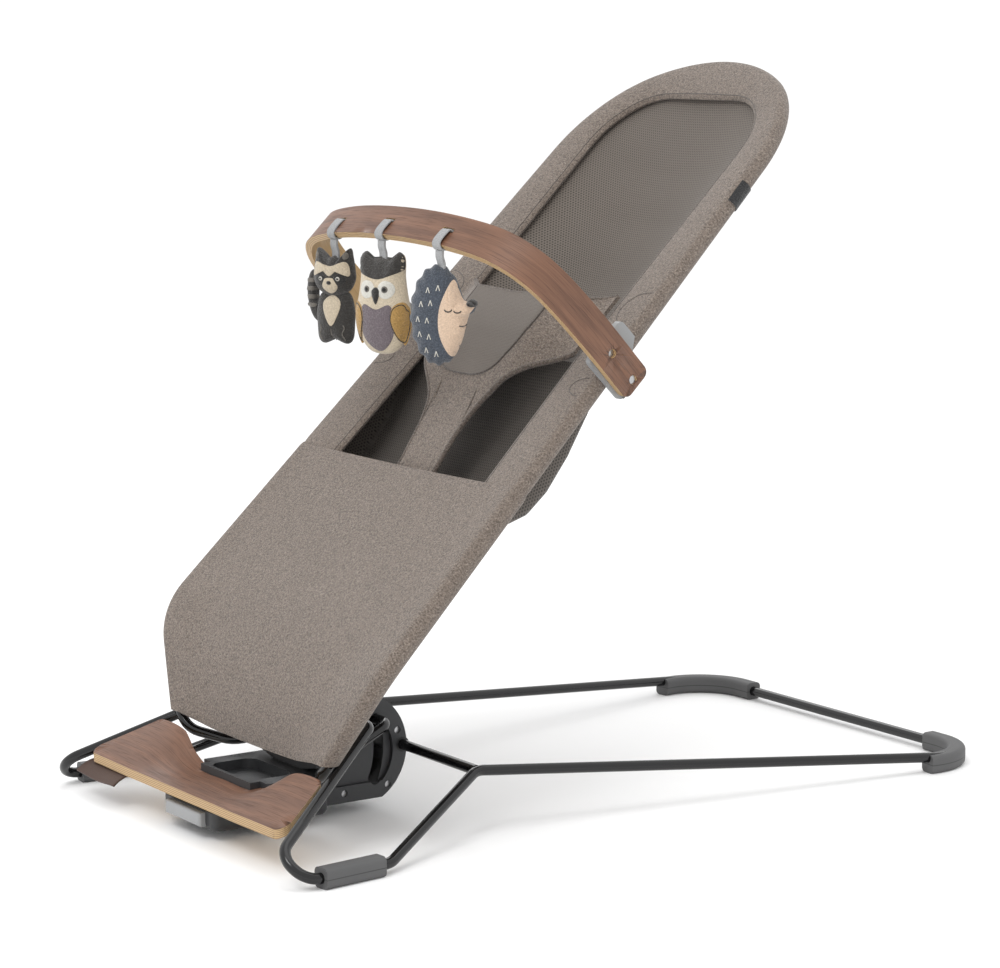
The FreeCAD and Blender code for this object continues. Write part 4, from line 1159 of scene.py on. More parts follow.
@dataclass
class Cover:
    """The seat's fabric: front panel, border, back mesh and sling."""

    finishes: Finishes
    panel_radius: float = 0.0090
    border_radius: float = 0.0079
    hem_s: float = -0.134
    leg_s: float = 0.153
    panel_sag: float = 0.0050
    opening: tuple[Point, ...] = ((0.122, 0.153), (0.114, 0.300), (0.115, 0.551))
    opening_top: float = 0.617
    opening_corner: float = 0.066
    mesh_bottom: float = 0.296
    mesh_depth: tuple[Point, ...] = ((0.29, 0.034), (0.34, 0.042), (0.42, 0.043), (0.49, 0.036), (0.545, 0.025),
                                     (0.59, 0.011), (0.622, 0.0005))
    pouch_run: tuple[Point, ...] = ((0.122, 0.004), (0.127, 0.015), (0.137, 0.029), (0.155, 0.039),
                                    (0.182, 0.041), (0.218, 0.035), (0.260, 0.022), (0.298, 0.004))
    pouch_half: float = 0.150
    pouch_power: float = 0.18
    seam_share: float = 0.07
    curved_seams: tuple[tuple[float, float, float], ...] = ((0.335, 0.375, 0.030), (0.255, 0.275, 0.018))

    def section(self, right: Vector, left: Vector, out: Vector, radius: float) -> list[Vector]:
        """The panel's section: round one rod, across the front, round the other and back.

        Args:
            right: the +X rod's centre.
            left: the -X rod's centre.
            out: the direction off the seat.
            radius: the fabric's outer radius round the rod.

        Returns:
            The closed ring of points.
        """
        across = Vector((1.0, 0.0, 0.0))
        ring = []
        turns = 10
        for k in range(turns + 1):
            a = -math.pi / 2 + math.pi * k / turns
            ring.append(right + across * (radius * math.cos(a)) + out * (radius * math.sin(a)))
        steps = 40
        for k in range(1, steps):
            t = k / steps
            sag = self.panel_sag * (1 - (2 * t - 1) ** 2) ** 0.6
            ring.append(right.lerp(left, t) + out * (radius - sag))
        for k in range(turns + 1):
            a = math.pi / 2 + math.pi * k / turns
            ring.append(left + across * (radius * math.cos(a)) + out * (radius * math.sin(a)))
        for k in range(1, steps):
            t = k / steps
            lift = (radius - 0.0015) * (1 - (2 * t - 1) ** 2) ** 0.5
            ring.append(left.lerp(right, t) - out * (radius - lift))
        return ring

    def front_panel(self) -> bpy.types.Object:
        """The lower front panel, from the hem over the bend to the leg openings."""
        rings = []
        rows = 72
        for k in range(rows + 1):
            s = self.hem_s + (self.leg_s - self.hem_s) * k / rows
            middle = SEAT.at(0.0, s)
            rail = RAIL.at_height(middle.z)
            out = SEAT.normal(s)
            end = min(k, rows - k)
            radius = self.panel_radius * (0.93 if end == 0 else 1.0)
            ring = self.section(rail, Vector((-rail.x, rail.y, rail.z)), out, radius)
            shift = middle - Vector((0.0, rail.y, rail.z))
            fixed = []
            for p in ring:
                share = smooth((rail.x - 0.012 - abs(p.x)) / 0.05)
                fixed.append(p + shift * share)
            if k == 0:
                fixed = [p + Vector((0.0, 0.0, -0.004 * (1 - (p.x / rail.x) ** 2))) for p in fixed]
            rings.append(fixed)
        obj = loft("front_panel_fabric", rings)
        outward(obj)
        soften(obj, 50)
        dress(obj, self.finishes.heather)
        return settle(obj, "seat", ["front_panel"])

    def opening_line(self) -> list[Point]:
        """The border's inner edge on the +X side, from the bottom to the middle of the top."""
        line = []
        for (x0, s0), (x1, s1) in zip(self.opening, self.opening[1:]):
            line += [(x0 + (x1 - x0) * k / 24, s0 + (s1 - s0) * k / 24) for k in range(24)]
        x_top = self.opening[-1][0] - self.opening_corner
        s_top = self.opening_top - self.opening_corner
        for k in range(25):
            a = math.pi / 2 * k / 24
            line.append((x_top + self.opening_corner * math.cos(a), s_top + self.opening_corner * math.sin(a)))
        line += [(x_top * (1 - k / 8), self.opening_top) for k in range(1, 9)]
        return line

    def matched(self) -> list[tuple[Point, Point]]:
        """Pairs of (rail point, opening point), from the +X side's bottom to the middle of the top."""
        pairs = []
        turn_s = RAIL.side_s
        for k in range(61):
            s = self.leg_s + (turn_s - self.leg_s) * k / 60
            table = [(q, x) for x, q in self.opening]
            pairs.append(((RAIL.half_width(s), s), (lookup(table, s), s)))
        centre = (0.0, turn_s)
        upper = [(math.atan2(s - centre[1], x - centre[0]), (x, s)) for x, s in self.opening_line() if s >= turn_s]
        for x, s in RAIL.top_line()[1:]:
            angle = math.atan2(s - centre[1], x - centre[0])
            near = min(range(len(upper)), key=lambda i: abs(upper[i][0] - angle))
            low = max(near - 1, 0)
            high = min(near + 1, len(upper) - 1)
            a, b = upper[low], upper[high]
            share = 0.0 if b[0] == a[0] else (angle - a[0]) / (b[0] - a[0])
            share = min(max(share, 0.0), 1.0)
            pairs.append(((x, s), (a[1][0] + share * (b[1][0] - a[1][0]), a[1][1] + share * (b[1][1] - a[1][1]))))
        return pairs

    @staticmethod
    def border_height(share: float, radius: float) -> float:
        """Height of the border's face, from its inner edge (0) to the top of the rod (1).

        Args:
            share: place across the border, 0 to 1.
            radius: the border's padded radius.

        Returns:
            The height off the seat's plane.
        """
        return 0.0024 + (radius - 0.0024) * math.sin(math.pi / 2 * share) ** 0.8

    def border(self) -> bpy.types.Object:
        """The padded border round the opening, wrapped over the rod."""
        half = self.matched()
        full = half + [((-p[0], p[1]), (-q[0], q[1])) for p, q in reversed(half[:-1])]
        rings = []
        for i, (rail, inner) in enumerate(full):
            centre = SEAT.at(rail[0], rail[1])
            edge = SEAT.at(inner[0], inner[1])
            away = (centre - edge).normalized()
            out = SEAT.out
            radius = self.border_radius * (0.93 if i in (0, len(full) - 1) else 1.0)
            ring = []
            strip = 12
            for k in range(strip + 1):
                t = k / strip
                height = self.border_height(t, radius)
                ring.append(edge.lerp(centre, t) + out * height)
            for k in range(1, 12):
                a = math.pi / 2 - math.pi * k / 12
                ring.append(centre + away * (radius * math.cos(a)) + out * (radius * math.sin(a)))
            for k in range(strip, -1, -1):
                t = k / strip
                ring.append(edge.lerp(centre, t) - out * (0.0026 + (radius - 0.0026) * smooth(t)))
            ring.append(edge - away * 0.0016)
            rings.append(ring)
        obj = loft("border_fabric", rings)
        outward(obj)
        soften(obj, 50)
        dress(obj, self.finishes.heather)
        return settle(obj, "seat", ["cover_edge", "seat_border"])

    def seams(self) -> bpy.types.Object:
        """The stitched seams on the border: one along its inner edge and curved ones on each side."""
        parts = []
        half = self.matched()
        full = half + [((-p[0], p[1]), (-q[0], q[1])) for p, q in reversed(half[:-1])]
        line = []
        for rail, inner in full:
            centre = SEAT.at(rail[0], rail[1])
            edge = SEAT.at(inner[0], inner[1])
            height = self.border_height(self.seam_share, self.border_radius)
            line.append(edge.lerp(centre, self.seam_share) + SEAT.out * (height - 0.0001))
        parts.append(tube("seam", line, 0.0005, 6))
        for side in (-1, 1):
            for s0, s1, deep in self.curved_seams:
                line = []
                for k in range(25):
                    a = math.pi * k / 24
                    s = (s0 + s1) / 2 - (s1 - s0) / 2 * math.cos(a)
                    x = RAIL.half_width(s) - 0.003 - deep * math.sin(a)
                    inner = lookup([(q, w) for w, q in self.opening], s)
                    t = (x - inner) / (RAIL.half_width(s) - inner)
                    line.append(SEAT.at(side * x, s, self.border_height(t, self.border_radius) - 0.0001))
                parts.append(tube("seam", line, 0.00055, 6))
        obj = join("border_seams", parts)
        dress(obj, self.finishes.seam)
        soften(obj)
        return settle(obj, "seat", [])

    def back_mesh(self) -> bpy.types.Object:
        """The mesh of the backrest, hung inside the opening and sagging a little."""
        line = [(x + 0.006, s) for x, s in self.opening_line() if s >= self.mesh_bottom]
        widths = [(s, x) for x, s in line]
        rows = 70
        columns = 44
        rings = []
        top = self.opening_top + 0.004
        for k in range(rows + 1):
            s = self.mesh_bottom + (top - self.mesh_bottom) * (k / rows)
            x_top = self.opening[-1][0] - self.opening_corner
            over = max(0.0, s - (self.opening_top - self.opening_corner))
            radius = self.opening_corner + 0.006
            wide = lookup(widths, s) if over <= 0 else x_top + math.sqrt(max(0.0, radius * radius - over * over))
            depth = lookup(self.mesh_depth, s)
            row = []
            for m in range(columns + 1):
                u = -1 + 2 * m / columns
                sag = depth * (1 - abs(u) ** 2.2)
                row.append(SEAT.at(wide * u, s, -0.0048 - sag))
            rings.append(row)
        obj = loft("back_mesh_fabric", rings, closed=False, capped=False)
        self.thicken(obj, 0.0018)
        dress(obj, self.finishes.mesh)
        return settle(obj, "seat", ["back_mesh"])

    def thicken(self, obj: bpy.types.Object, thickness: float) -> None:
        """Gives an open sheet its thickness, its weave map and smooth shading.

        Args:
            obj: the open sheet.
            thickness: its thickness in metres.
        """
        outward(obj)
        solid = obj.modifiers.new("thickness", "SOLIDIFY")
        solid.thickness = thickness
        solid.offset = 0.0
        apply_modifiers(obj)
        set_uv(obj, seat_uv)
        soften(obj, 50)

    def pouch_uv(self, p: Vector) -> Point:
        """Weave position on the sling: across it, then up its side walls.

        Args:
            p: a point on the sling.

        Returns:
            Its (u, v) in metres.
        """
        x, s = seat_uv(p)
        wall = smooth((abs(p.x) - self.pouch_half + 0.006) / 0.004)
        depth = (p - SEAT.at(p.x, s)).dot(SEAT.out)
        return (x + math.copysign(abs(depth), x) * wall, s)

    def pouch(self) -> bpy.types.Object:
        """The sling under the sitter: a trough hung from the border."""
        rings = []
        rows = 44
        first, last = self.pouch_run[0][0], self.pouch_run[-1][0]
        for k in range(rows + 1):
            s = first + (last - first) * k / rows
            depth = lookup(self.pouch_run, s)
            row = []
            for m in range(61):
                a = math.pi * m / 60
                across = math.copysign(abs(math.cos(a)) ** self.pouch_power, math.cos(a))
                down = math.sin(a) ** self.pouch_power
                row.append(SEAT.at(-self.pouch_half * across, s, -0.003 - (depth - 0.002) * down))
            rings.append(row)
        obj = loft("sling_fabric", rings, closed=False, capped=False)
        self.thicken(obj, 0.0018)
        set_uv(obj, self.pouch_uv)
        dress(obj, self.finishes.dark_mesh)
        return settle(obj, "seat", ["sling_pouch"])

    def build(self) -> None:
        """Makes every piece of the cover."""
        self.front_panel()
        self.border()
        self.seams()
        self.back_mesh()
        self.pouch()


@dataclass
class Harness:
    """The bib, its mesh, the strap between the legs and the two arms."""

    finishes: Finishes
    run: tuple[Point, ...] = ((0.140, -0.0095), (0.160, -0.008), (0.185, -0.003), (0.208, 0.001),
                              (0.228, 0.005), (0.240, 0.009), (0.254, 0.0155), (0.275, 0.0215),
                              (0.300, 0.0245), (0.346, 0.025), (0.370, 0.025))
    low_side: tuple[Point, ...] = ((0.0, 0.1380), (0.0270, 0.1385), (0.0280, 0.150), (0.0290, 0.185), (0.0320, 0.208),
                                   (0.039, 0.228), (0.048, 0.240), (0.062, 0.254), (0.085, 0.276), (0.114, 0.300))
    top_side: tuple[Point, ...] = ((0.0, 0.342), (0.060, 0.345), (0.085, 0.353), (0.114, 0.368))
    tie: float = 0.113
    tie_height: float = 0.0045
    bib_half: float = 0.060
    bib_top: float = 0.343
    bib_low: float = 0.252

    def height(self, x: float, s: float) -> float:
        """Height of the harness off the seat at x and s.

        Args:
            x: distance from the middle.
            s: distance up the slope.

        Returns:
            The height in metres.
        """
        share = smooth((abs(x) - 0.055) / (self.tie - 0.055))
        return lookup(self.run, s) * (1 - share) + self.tie_height * share

    def sheet(self, name: str, columns: Sequence[float], low: Callable[[float], float],
              high: Callable[[float], float], lift: float, rows: int = 40) -> bpy.types.Object:
        """A grid of cloth between two edges.

        Args:
            name: the new object's name.
            columns: the x values of its columns.
            low: the lower edge's s at each x.
            high: the upper edge's s at each x.
            lift: how far it lies above the harness's own surface.
            rows: how many rows each column is divided into.

        Returns:
            The open sheet.
        """
        rings = []
        for x in columns:
            s0, s1 = low(abs(x)), high(abs(x))
            rings.append([
                SEAT.at(x, s0 + (s1 - s0) * k / rows, self.height(x, s0 + (s1 - s0) * k / rows) + lift)
                for k in range(rows + 1)
            ])
        return loft(name, rings, closed=False, capped=False)

    def low_edge(self) -> list[Point]:
        """The harness's lower edge as dense (x, s) points."""
        return [(p[0], p[1]) for p in spline(self.low_side, 10)]

    def build(self) -> None:
        """Makes the harness, its mesh and its bound edges."""
        edge = self.low_edge()
        columns = sorted({round(x, 5) for x, _ in edge})
        columns = [x for i, x in enumerate(columns) if i == 0 or x - columns[i - 1] > 0.0001]
        full = [-x for x in reversed(columns) if x > 0] + columns
        body = self.sheet("harness_fabric", full, lambda x: lookup(edge, x),
                          lambda x: lookup(self.top_side, x), 0.002)
        outward(body)
        solid = body.modifiers.new("thickness", "SOLIDIFY")
        solid.thickness = 0.0036
        solid.offset = 0.0
        apply_modifiers(body)
        soften(body, 50)
        dress(body, self.finishes.heather)
        settle(body, "seat", ["bib_panel", "harness_arm_left", "harness_arm_right"])
        bindings = []
        for side in (-1, 1):
            line = [SEAT.at(side * x, s, self.height(x, s) + 0.002) for x, s in edge if x > 0.0268]
            bindings.append(tube("binding", line, 0.0026, 10))
        line = [SEAT.at(x, lookup(self.top_side, abs(x)), self.height(x, lookup(self.top_side, abs(x))) + 0.002)
                for x in [self.tie * (k / 40) for k in range(-40, 41)]]
        bindings.append(tube("binding", line, 0.0024, 10))
        bound = join("harness_binding", bindings)
        soften(bound)
        dress(bound, self.finishes.binding)
        settle(bound, "seat", [])
        seams = []
        for side in (-1, 1):
            line = [SEAT.at(side * max(x - 0.0065, 0.0), s + 0.004, self.height(x, s) + 0.0041)
                    for x, s in edge if x > 0.0268]
            seams.append(tube("seam", line, 0.00045, 6))
        span = self.bib_top - self.bib_low
        wide = self.bib_half + 0.001

        def bib_edge(x: float) -> float:
            """The rounded lower edge of the bib's mesh.

            Args:
                x: distance from the middle.

            Returns:
                The s of the mesh's lower edge.
            """
            share = min(abs(x) / wide, 1.0)
            return self.bib_top - span * (1 - share ** 3.2) ** (1 / 3.2)

        line = [SEAT.at(x, bib_edge(x), self.height(x, bib_edge(x)) + 0.0044)
                for x in [wide * math.sin(math.pi / 2 * k / 50) for k in range(-50, 51)]]
        seams.append(tube("seam", line, 0.0009, 8))
        stitched = join("harness_seams", seams)
        soften(stitched)
        dress(stitched, self.finishes.seam)
        settle(stitched, "seat", [])
        columns = [self.bib_half * math.sin(math.pi / 2 * k / 30) for k in range(-30, 31)]
        net = self.sheet("bib_mesh_fabric", columns, bib_edge, lambda x: lookup(self.top_side, x) - 0.001, 0.0042, 26)
        outward(net)
        solid = net.modifiers.new("thickness", "SOLIDIFY")
        solid.thickness = 0.0012
        solid.offset = 0.0
        apply_modifiers(net)
        set_uv(net, seat_uv)
        soften(net, 50)
        dress(net, self.finishes.bib_mesh)
        settle(net, "seat", ["bib_mesh"])


# ---------------------------------------------------------------- wood


def pedal_top(x: float, y: float) -> float:
    """Height of the pedal's top face at x and y.

    Args:
        x: distance from the middle.
        y: distance towards the head end.

    Returns:
        The height in metres.
    """
    rise = smooth((abs(x) - 0.044) / (0.104 - 0.044))
    rear = 0.0421 + (0.0665 - 0.0421) * rise
    return 0.0389 + (rear - 0.0389) * (y + 0.370) / 0.059


@dataclass
class Wood:
    """The bent plywood pedal and toy bar."""

    finishes: Finishes
    bar_outer: tuple[Point, ...] = ((0.184, -0.022), (0.187, 0.030), (0.186, 0.085), (0.176, 0.124),
                                    (0.151, 0.149), (0.112, 0.162), (0.060, 0.1695), (0.0, 0.172))

    def split_faces(self, obj: bpy.types.Object, kind: Callable[[bpy.types.MeshPolygon], int]) -> None:
        """Gives each face its veneer, inner veneer or ply-edge slot.

        Args:
            obj: the plywood piece.
            kind: gives the slot for a face.
        """
        dress(obj, self.finishes.walnut, self.finishes.maple, self.finishes.plies)
        for polygon in obj.data.polygons:
            polygon.material_index = kind(polygon)

    def pedal(self) -> bpy.types.Object:
        """The foot pedal, with its grain across the seat and its plies round the edge."""
        obj = copy_node("pedal_wood", "foot_pedal")
        self.split_faces(obj, lambda f: 2 if abs(f.normal.z) < 0.45 else (0 if f.normal.z > 0 else 1))
        layer = obj.data.uv_layers.new(name="weave")
        for polygon in obj.data.polygons:
            for index in polygon.loop_indices:
                p = obj.data.vertices[obj.data.loops[index].vertex_index].co
                if polygon.material_index == 2:
                    layer.data[index].uv = (p.x + p.y, pedal_top(p.x, p.y) - p.z)
                else:
                    layer.data[index].uv = (p.x, p.y * 1.0)
        soften(obj, 30)
        return settle(obj, "hub", ["foot_pedal"])

    def toy_bar(self) -> bpy.types.Object:
        """The toy bar, walnut outside, maple inside, with its plies along both edges."""
        obj = copy_node("toy_bar_wood", "toy_bar")
        right = [(p[0], p[1]) for p in spline(self.bar_outer, 16)]
        arch = right + [(-x, n) for x, n in reversed(right[:-1])]
        lengths = [0.0]
        for (x0, n0), (x1, n1) in zip(arch, arch[1:]):
            lengths.append(lengths[-1] + math.hypot(x1 - x0, n1 - n0))
        origin = Vector((0.0, SEAT.flat_y, SEAT.flat_z))

        def read(p: Vector) -> tuple[float, float, float]:
            """Place of a point along and across the bar.

            Args:
                p: a point on the bar.

            Returns:
                Its weave reading.
            """
            off = p - origin
            n, s = off.dot(SEAT.out), off.dot(SEAT.up)
            best = min(range(len(arch)), key=lambda i: (arch[i][0] - p.x) ** 2 + (arch[i][1] - n) ** 2)
            gap = math.hypot(arch[best][0] - p.x, arch[best][1] - n)
            return lengths[best], s, gap

        readings = [read(v.co) for v in obj.data.vertices]

        def kind(polygon: bpy.types.MeshPolygon) -> int:
            """Which finish a face of the bar takes.

            Args:
                polygon: a face of the bar.

            Returns:
                The slot's number.
            """
            if abs(polygon.normal.dot(SEAT.up)) > 0.5:
                return 2
            gaps = [readings[i][2] for i in polygon.vertices]
            if max(gaps) - min(gaps) > 0.0035:
                return 2
            return 0 if max(gaps) < 0.0035 else 1

        self.split_faces(obj, kind)
        layer = obj.data.uv_layers.new(name="weave")
        for polygon in obj.data.polygons:
            for index in polygon.loop_indices:
                along, s, gap = readings[obj.data.loops[index].vertex_index]
                layer.data[index].uv = (along, gap if polygon.material_index == 2 else s)
        soften(obj, 30)
        return settle(obj, "toy_bar_body", ["toy_bar"])

    def build(self) -> None:
        """Makes both wooden pieces."""
        self.pedal()
        self.toy_bar()


# ---------------------------------------------------------------- legs, tab, label, webbing


@dataclass
class Trim:
    """The springing legs, the pull tab, the side label and the toys' webbing."""

    finishes: Finishes
    slot_x: float = 0.087
    bar_heights: dict[str, float] = field(
        default_factory=lambda: {"raccoon": 0.16655, "owl": 0.172, "hedgehog": 0.16655})
    bar_s: float = 0.296
    bar_half: float = 0.0165
    bar_thickness: float = 0.007

    def legs(self) -> None:
        """The two legs between the front feet and the hub, copied from the CAD and dressed; they are not bent and
        stay on no body.
        """
        for side, label in ((1, "left"), (-1, "right")):
            obj = copy_node("leg_" + label, "spring_leg_" + label)
            dress(obj, self.finishes.rod)
            settle(obj, "base", ["spring_leg_" + label],
                   ("hub", (side * 0.208, -0.376, 0.012), (side * 0.104, -0.240, 0.0975)))

    def tab(self) -> bpy.types.Object:
        """The leather pull tab under the pedal."""
        low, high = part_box("leather_tab")
        run = spline([(-0.350, 0.0318), (-0.358, 0.0305), (-0.366, 0.0294), (-0.374, 0.0256), (-0.3805, 0.0208)], 6)
        columns = 24
        rings = []
        for k in range(columns + 1):
            u = k / columns
            x = low[0] + (high[0] - low[0]) * u
            curl = 0.0008 * math.cos(2 * math.pi * u)
            rings.append([Vector((x, y, z + curl * smooth((-0.36 - y) / 0.02))) for y, z in run])
        obj = loft("pull_tab", rings, closed=False, capped=False)
        outward(obj)
        solid = obj.modifiers.new("thickness", "SOLIDIFY")
        solid.thickness = 0.0022
        solid.offset = 0.0
        bevel = obj.modifiers.new("edge", "BEVEL")
        bevel.width = 0.0005
        bevel.segments = 2
        apply_modifiers(obj)
        soften(obj, 50)
        dress(obj, self.finishes.leather)
        return settle(obj, "hub", ["leather_tab"])

    def label(self) -> bpy.types.Object:
        """The blank side label, folded over the border's edge."""
        rings = []
        for k in range(13):
            s = 0.489 + 0.024 * k / 12
            centre = SEAT.at(RAIL.half_width(s), s)
            inner = 0.0082
            outer = 0.0090
            ring = []
            turns = [(-100 + 150 * m / 16) for m in range(17)]
            for radius, order in ((outer, turns), (inner, list(reversed(turns)))):
                for degrees in order:
                    a = math.radians(degrees)
                    tail = 0.010 if degrees < -99 else 0.0
                    ring.append(centre + Vector((1, 0, 0)) * (radius * math.cos(a) - tail)
                                + SEAT.out * (radius * math.sin(a)))
            rings.append(ring)
        obj = loft("blank_label", rings)
        outward(obj)
        soften(obj, 40)
        dress(obj, self.finishes.label)
        return settle(obj, "seat", ["side_label"])

    def webbing(self) -> None:
        """The loop of webbing for each toy, and the tail that it hangs from."""
        half = Vector((0.006, 0.0, 0.0))
        for label, x in (("raccoon", -self.slot_x), ("owl", 0.0), ("hedgehog", self.slot_x)):
            top = self.bar_heights[label]
            high, low = top + 0.0016, top - self.bar_thickness - 0.0016
            front = self.bar_s - self.bar_half - 0.0014
            corners = [(front + 0.004, high), (self.bar_s - 0.003, high), (self.bar_s, high - 0.002),
                       (self.bar_s, low + 0.002), (self.bar_s - 0.003, low), (front + 0.004, low),
                       (front, low + 0.003), (front, high - 0.003)]
            loop = [SEAT.at(x, s, n) for s, n in spline(corners, 4, loop=True)]
            obj = band("webbing_loop_" + label, loop, half, 0.0014, looped=True)
            outward(obj)
            soften(obj, 50)
            dress(obj, self.finishes.webbing)
            settle(obj, "toy_bar_body", ["strap_" + label])
            joint = next(j for j in frame["record"]["behaviour"]["joints"] if j["name"] == label + "_swing")
            pivot = Vector(joint["pos_m"])
            start = SEAT.at(x, front - 0.0004, low + 0.002)
            run = spline([tuple(start), tuple(start.lerp(pivot, 0.5) + Vector((0, -0.0008, 0))), tuple(pivot),
                          tuple(pivot + Vector((0, 0, -0.006)))], 5)
            tail = band("webbing_tail_" + label, [Vector(p) for p in run], half * 0.9, 0.0022)
            outward(tail)
            soften(tail, 50)
            dress(tail, self.finishes.webbing)
            rise, fall = Vector((0.0, 0.0, 0.005)), Vector((0.0, 0.0, -0.003))
            settle(tail, "toy_bar_body", [], (label, pivot + rise, pivot + fall))

    def build(self) -> None:
        """Makes the trim."""
        self.legs()
        self.tab()
        self.label()
        self.webbing()


# ---------------------------------------------------------------- toys


class Lobe:
    """One stuffed lobe: a round-edged pillow inside an outline, facing -Y."""

    def __init__(self, outline: Sequence[Point], thickness: float, centre: Optional[Point] = None,
                 depth: float = 0.0, parent: Optional["Lobe"] = None) -> None:
        """Keeps the lobe's outline and size.

        Args:
            outline: (u, z) points round it, in metres.
            thickness: half its thickness at the middle.
            centre: the point that its rings shrink to.
            depth: how far behind the toy's middle plane it lies.
            parent: the lobe on whose front it lies, if it is a patch.
        """
        self.outline = [(p[0], p[1]) for p in spline(outline, 8, loop=True)]
        count = len(self.outline)
        self.centre = centre or (sum(p[0] for p in self.outline) / count, sum(p[1] for p in self.outline) / count)
        self.thickness = thickness
        self.depth = depth
        self.parent = parent

    def reach(self, angle: float) -> float:
        """Distance from the centre to the outline in a direction.

        Args:
            angle: the direction in radians.

        Returns:
            The distance in metres.
        """
        best, far = 9.0, 0.0
        for u, z in self.outline:
            du, dz = u - self.centre[0], z - self.centre[1]
            off = abs((math.atan2(dz, du) - angle + math.pi) % (2 * math.pi) - math.pi)
            if off < best:
                best, far = off, math.hypot(du, dz)
        return far

    def front(self, u: float, z: float) -> float:
        """How far the lobe's front stands out at u and z.

        Args:
            u: distance across the toy.
            z: height on the toy.

        Returns:
            How far the front stands out.
        """
        du, dz = u - self.centre[0], z - self.centre[1]
        share = min(math.hypot(du, dz) / max(self.reach(math.atan2(dz, du)), 1e-6), 1.0)
        base = self.parent.front(u, z) if self.parent else -self.depth
        return base + self.thickness * (1 - share ** 2.6) ** 0.55

    def build(self, name: str, material: bpy.types.Material) -> bpy.types.Object:
        """Makes the lobe's mesh.

        Args:
            name: the new object's name.
            material: its felt.

        Returns:
            The lobe.
        """
        shares = [1.0, 0.985, 0.955, 0.9, 0.82, 0.72, 0.58, 0.42, 0.26, 0.12]
        rings = []
        for side, order in ((1, shares), (-1, list(reversed(shares[1:])))):
            for share in (reversed(order) if side > 0 else reversed(order)):
                ring = []
                for u, z in self.outline:
                    pu = self.centre[0] + (u - self.centre[0]) * share
                    pz = self.centre[1] + (z - self.centre[1]) * share
                    puff = self.thickness * (1 - share ** 2.6) ** 0.55
                    if self.parent is not None:
                        y = -(self.parent.front(pu, pz) + (puff if side > 0 else -0.0006) + 0.0002)
                    else:
                        y = self.depth - side * puff
                    ring.append(Vector((pu, y, pz)))
                rings.append(ring)
        obj = loft(name, rings)
        outward(obj)
        soften(obj, 60)
        dress(obj, material)
        return obj


def oval(u: float, z: float, wide: float, high: float, count: int = 12, tilt: float = 0.0) -> list[Point]:
    """An oval outline round a point.

    Args:
        u: the centre's place across the toy.
        z: the centre's height.
        wide: half width.
        high: half height.
        count: how many points.
        tilt: its turn in radians.

    Returns:
        The outline.
    """
    points = []
    for k in range(count):
        a = 2 * math.pi * k / count
        du, dz = wide * math.cos(a), high * math.sin(a)
        points.append((u + du * math.cos(tilt) - dz * math.sin(tilt), z + du * math.sin(tilt) + dz * math.cos(tilt)))
    return points


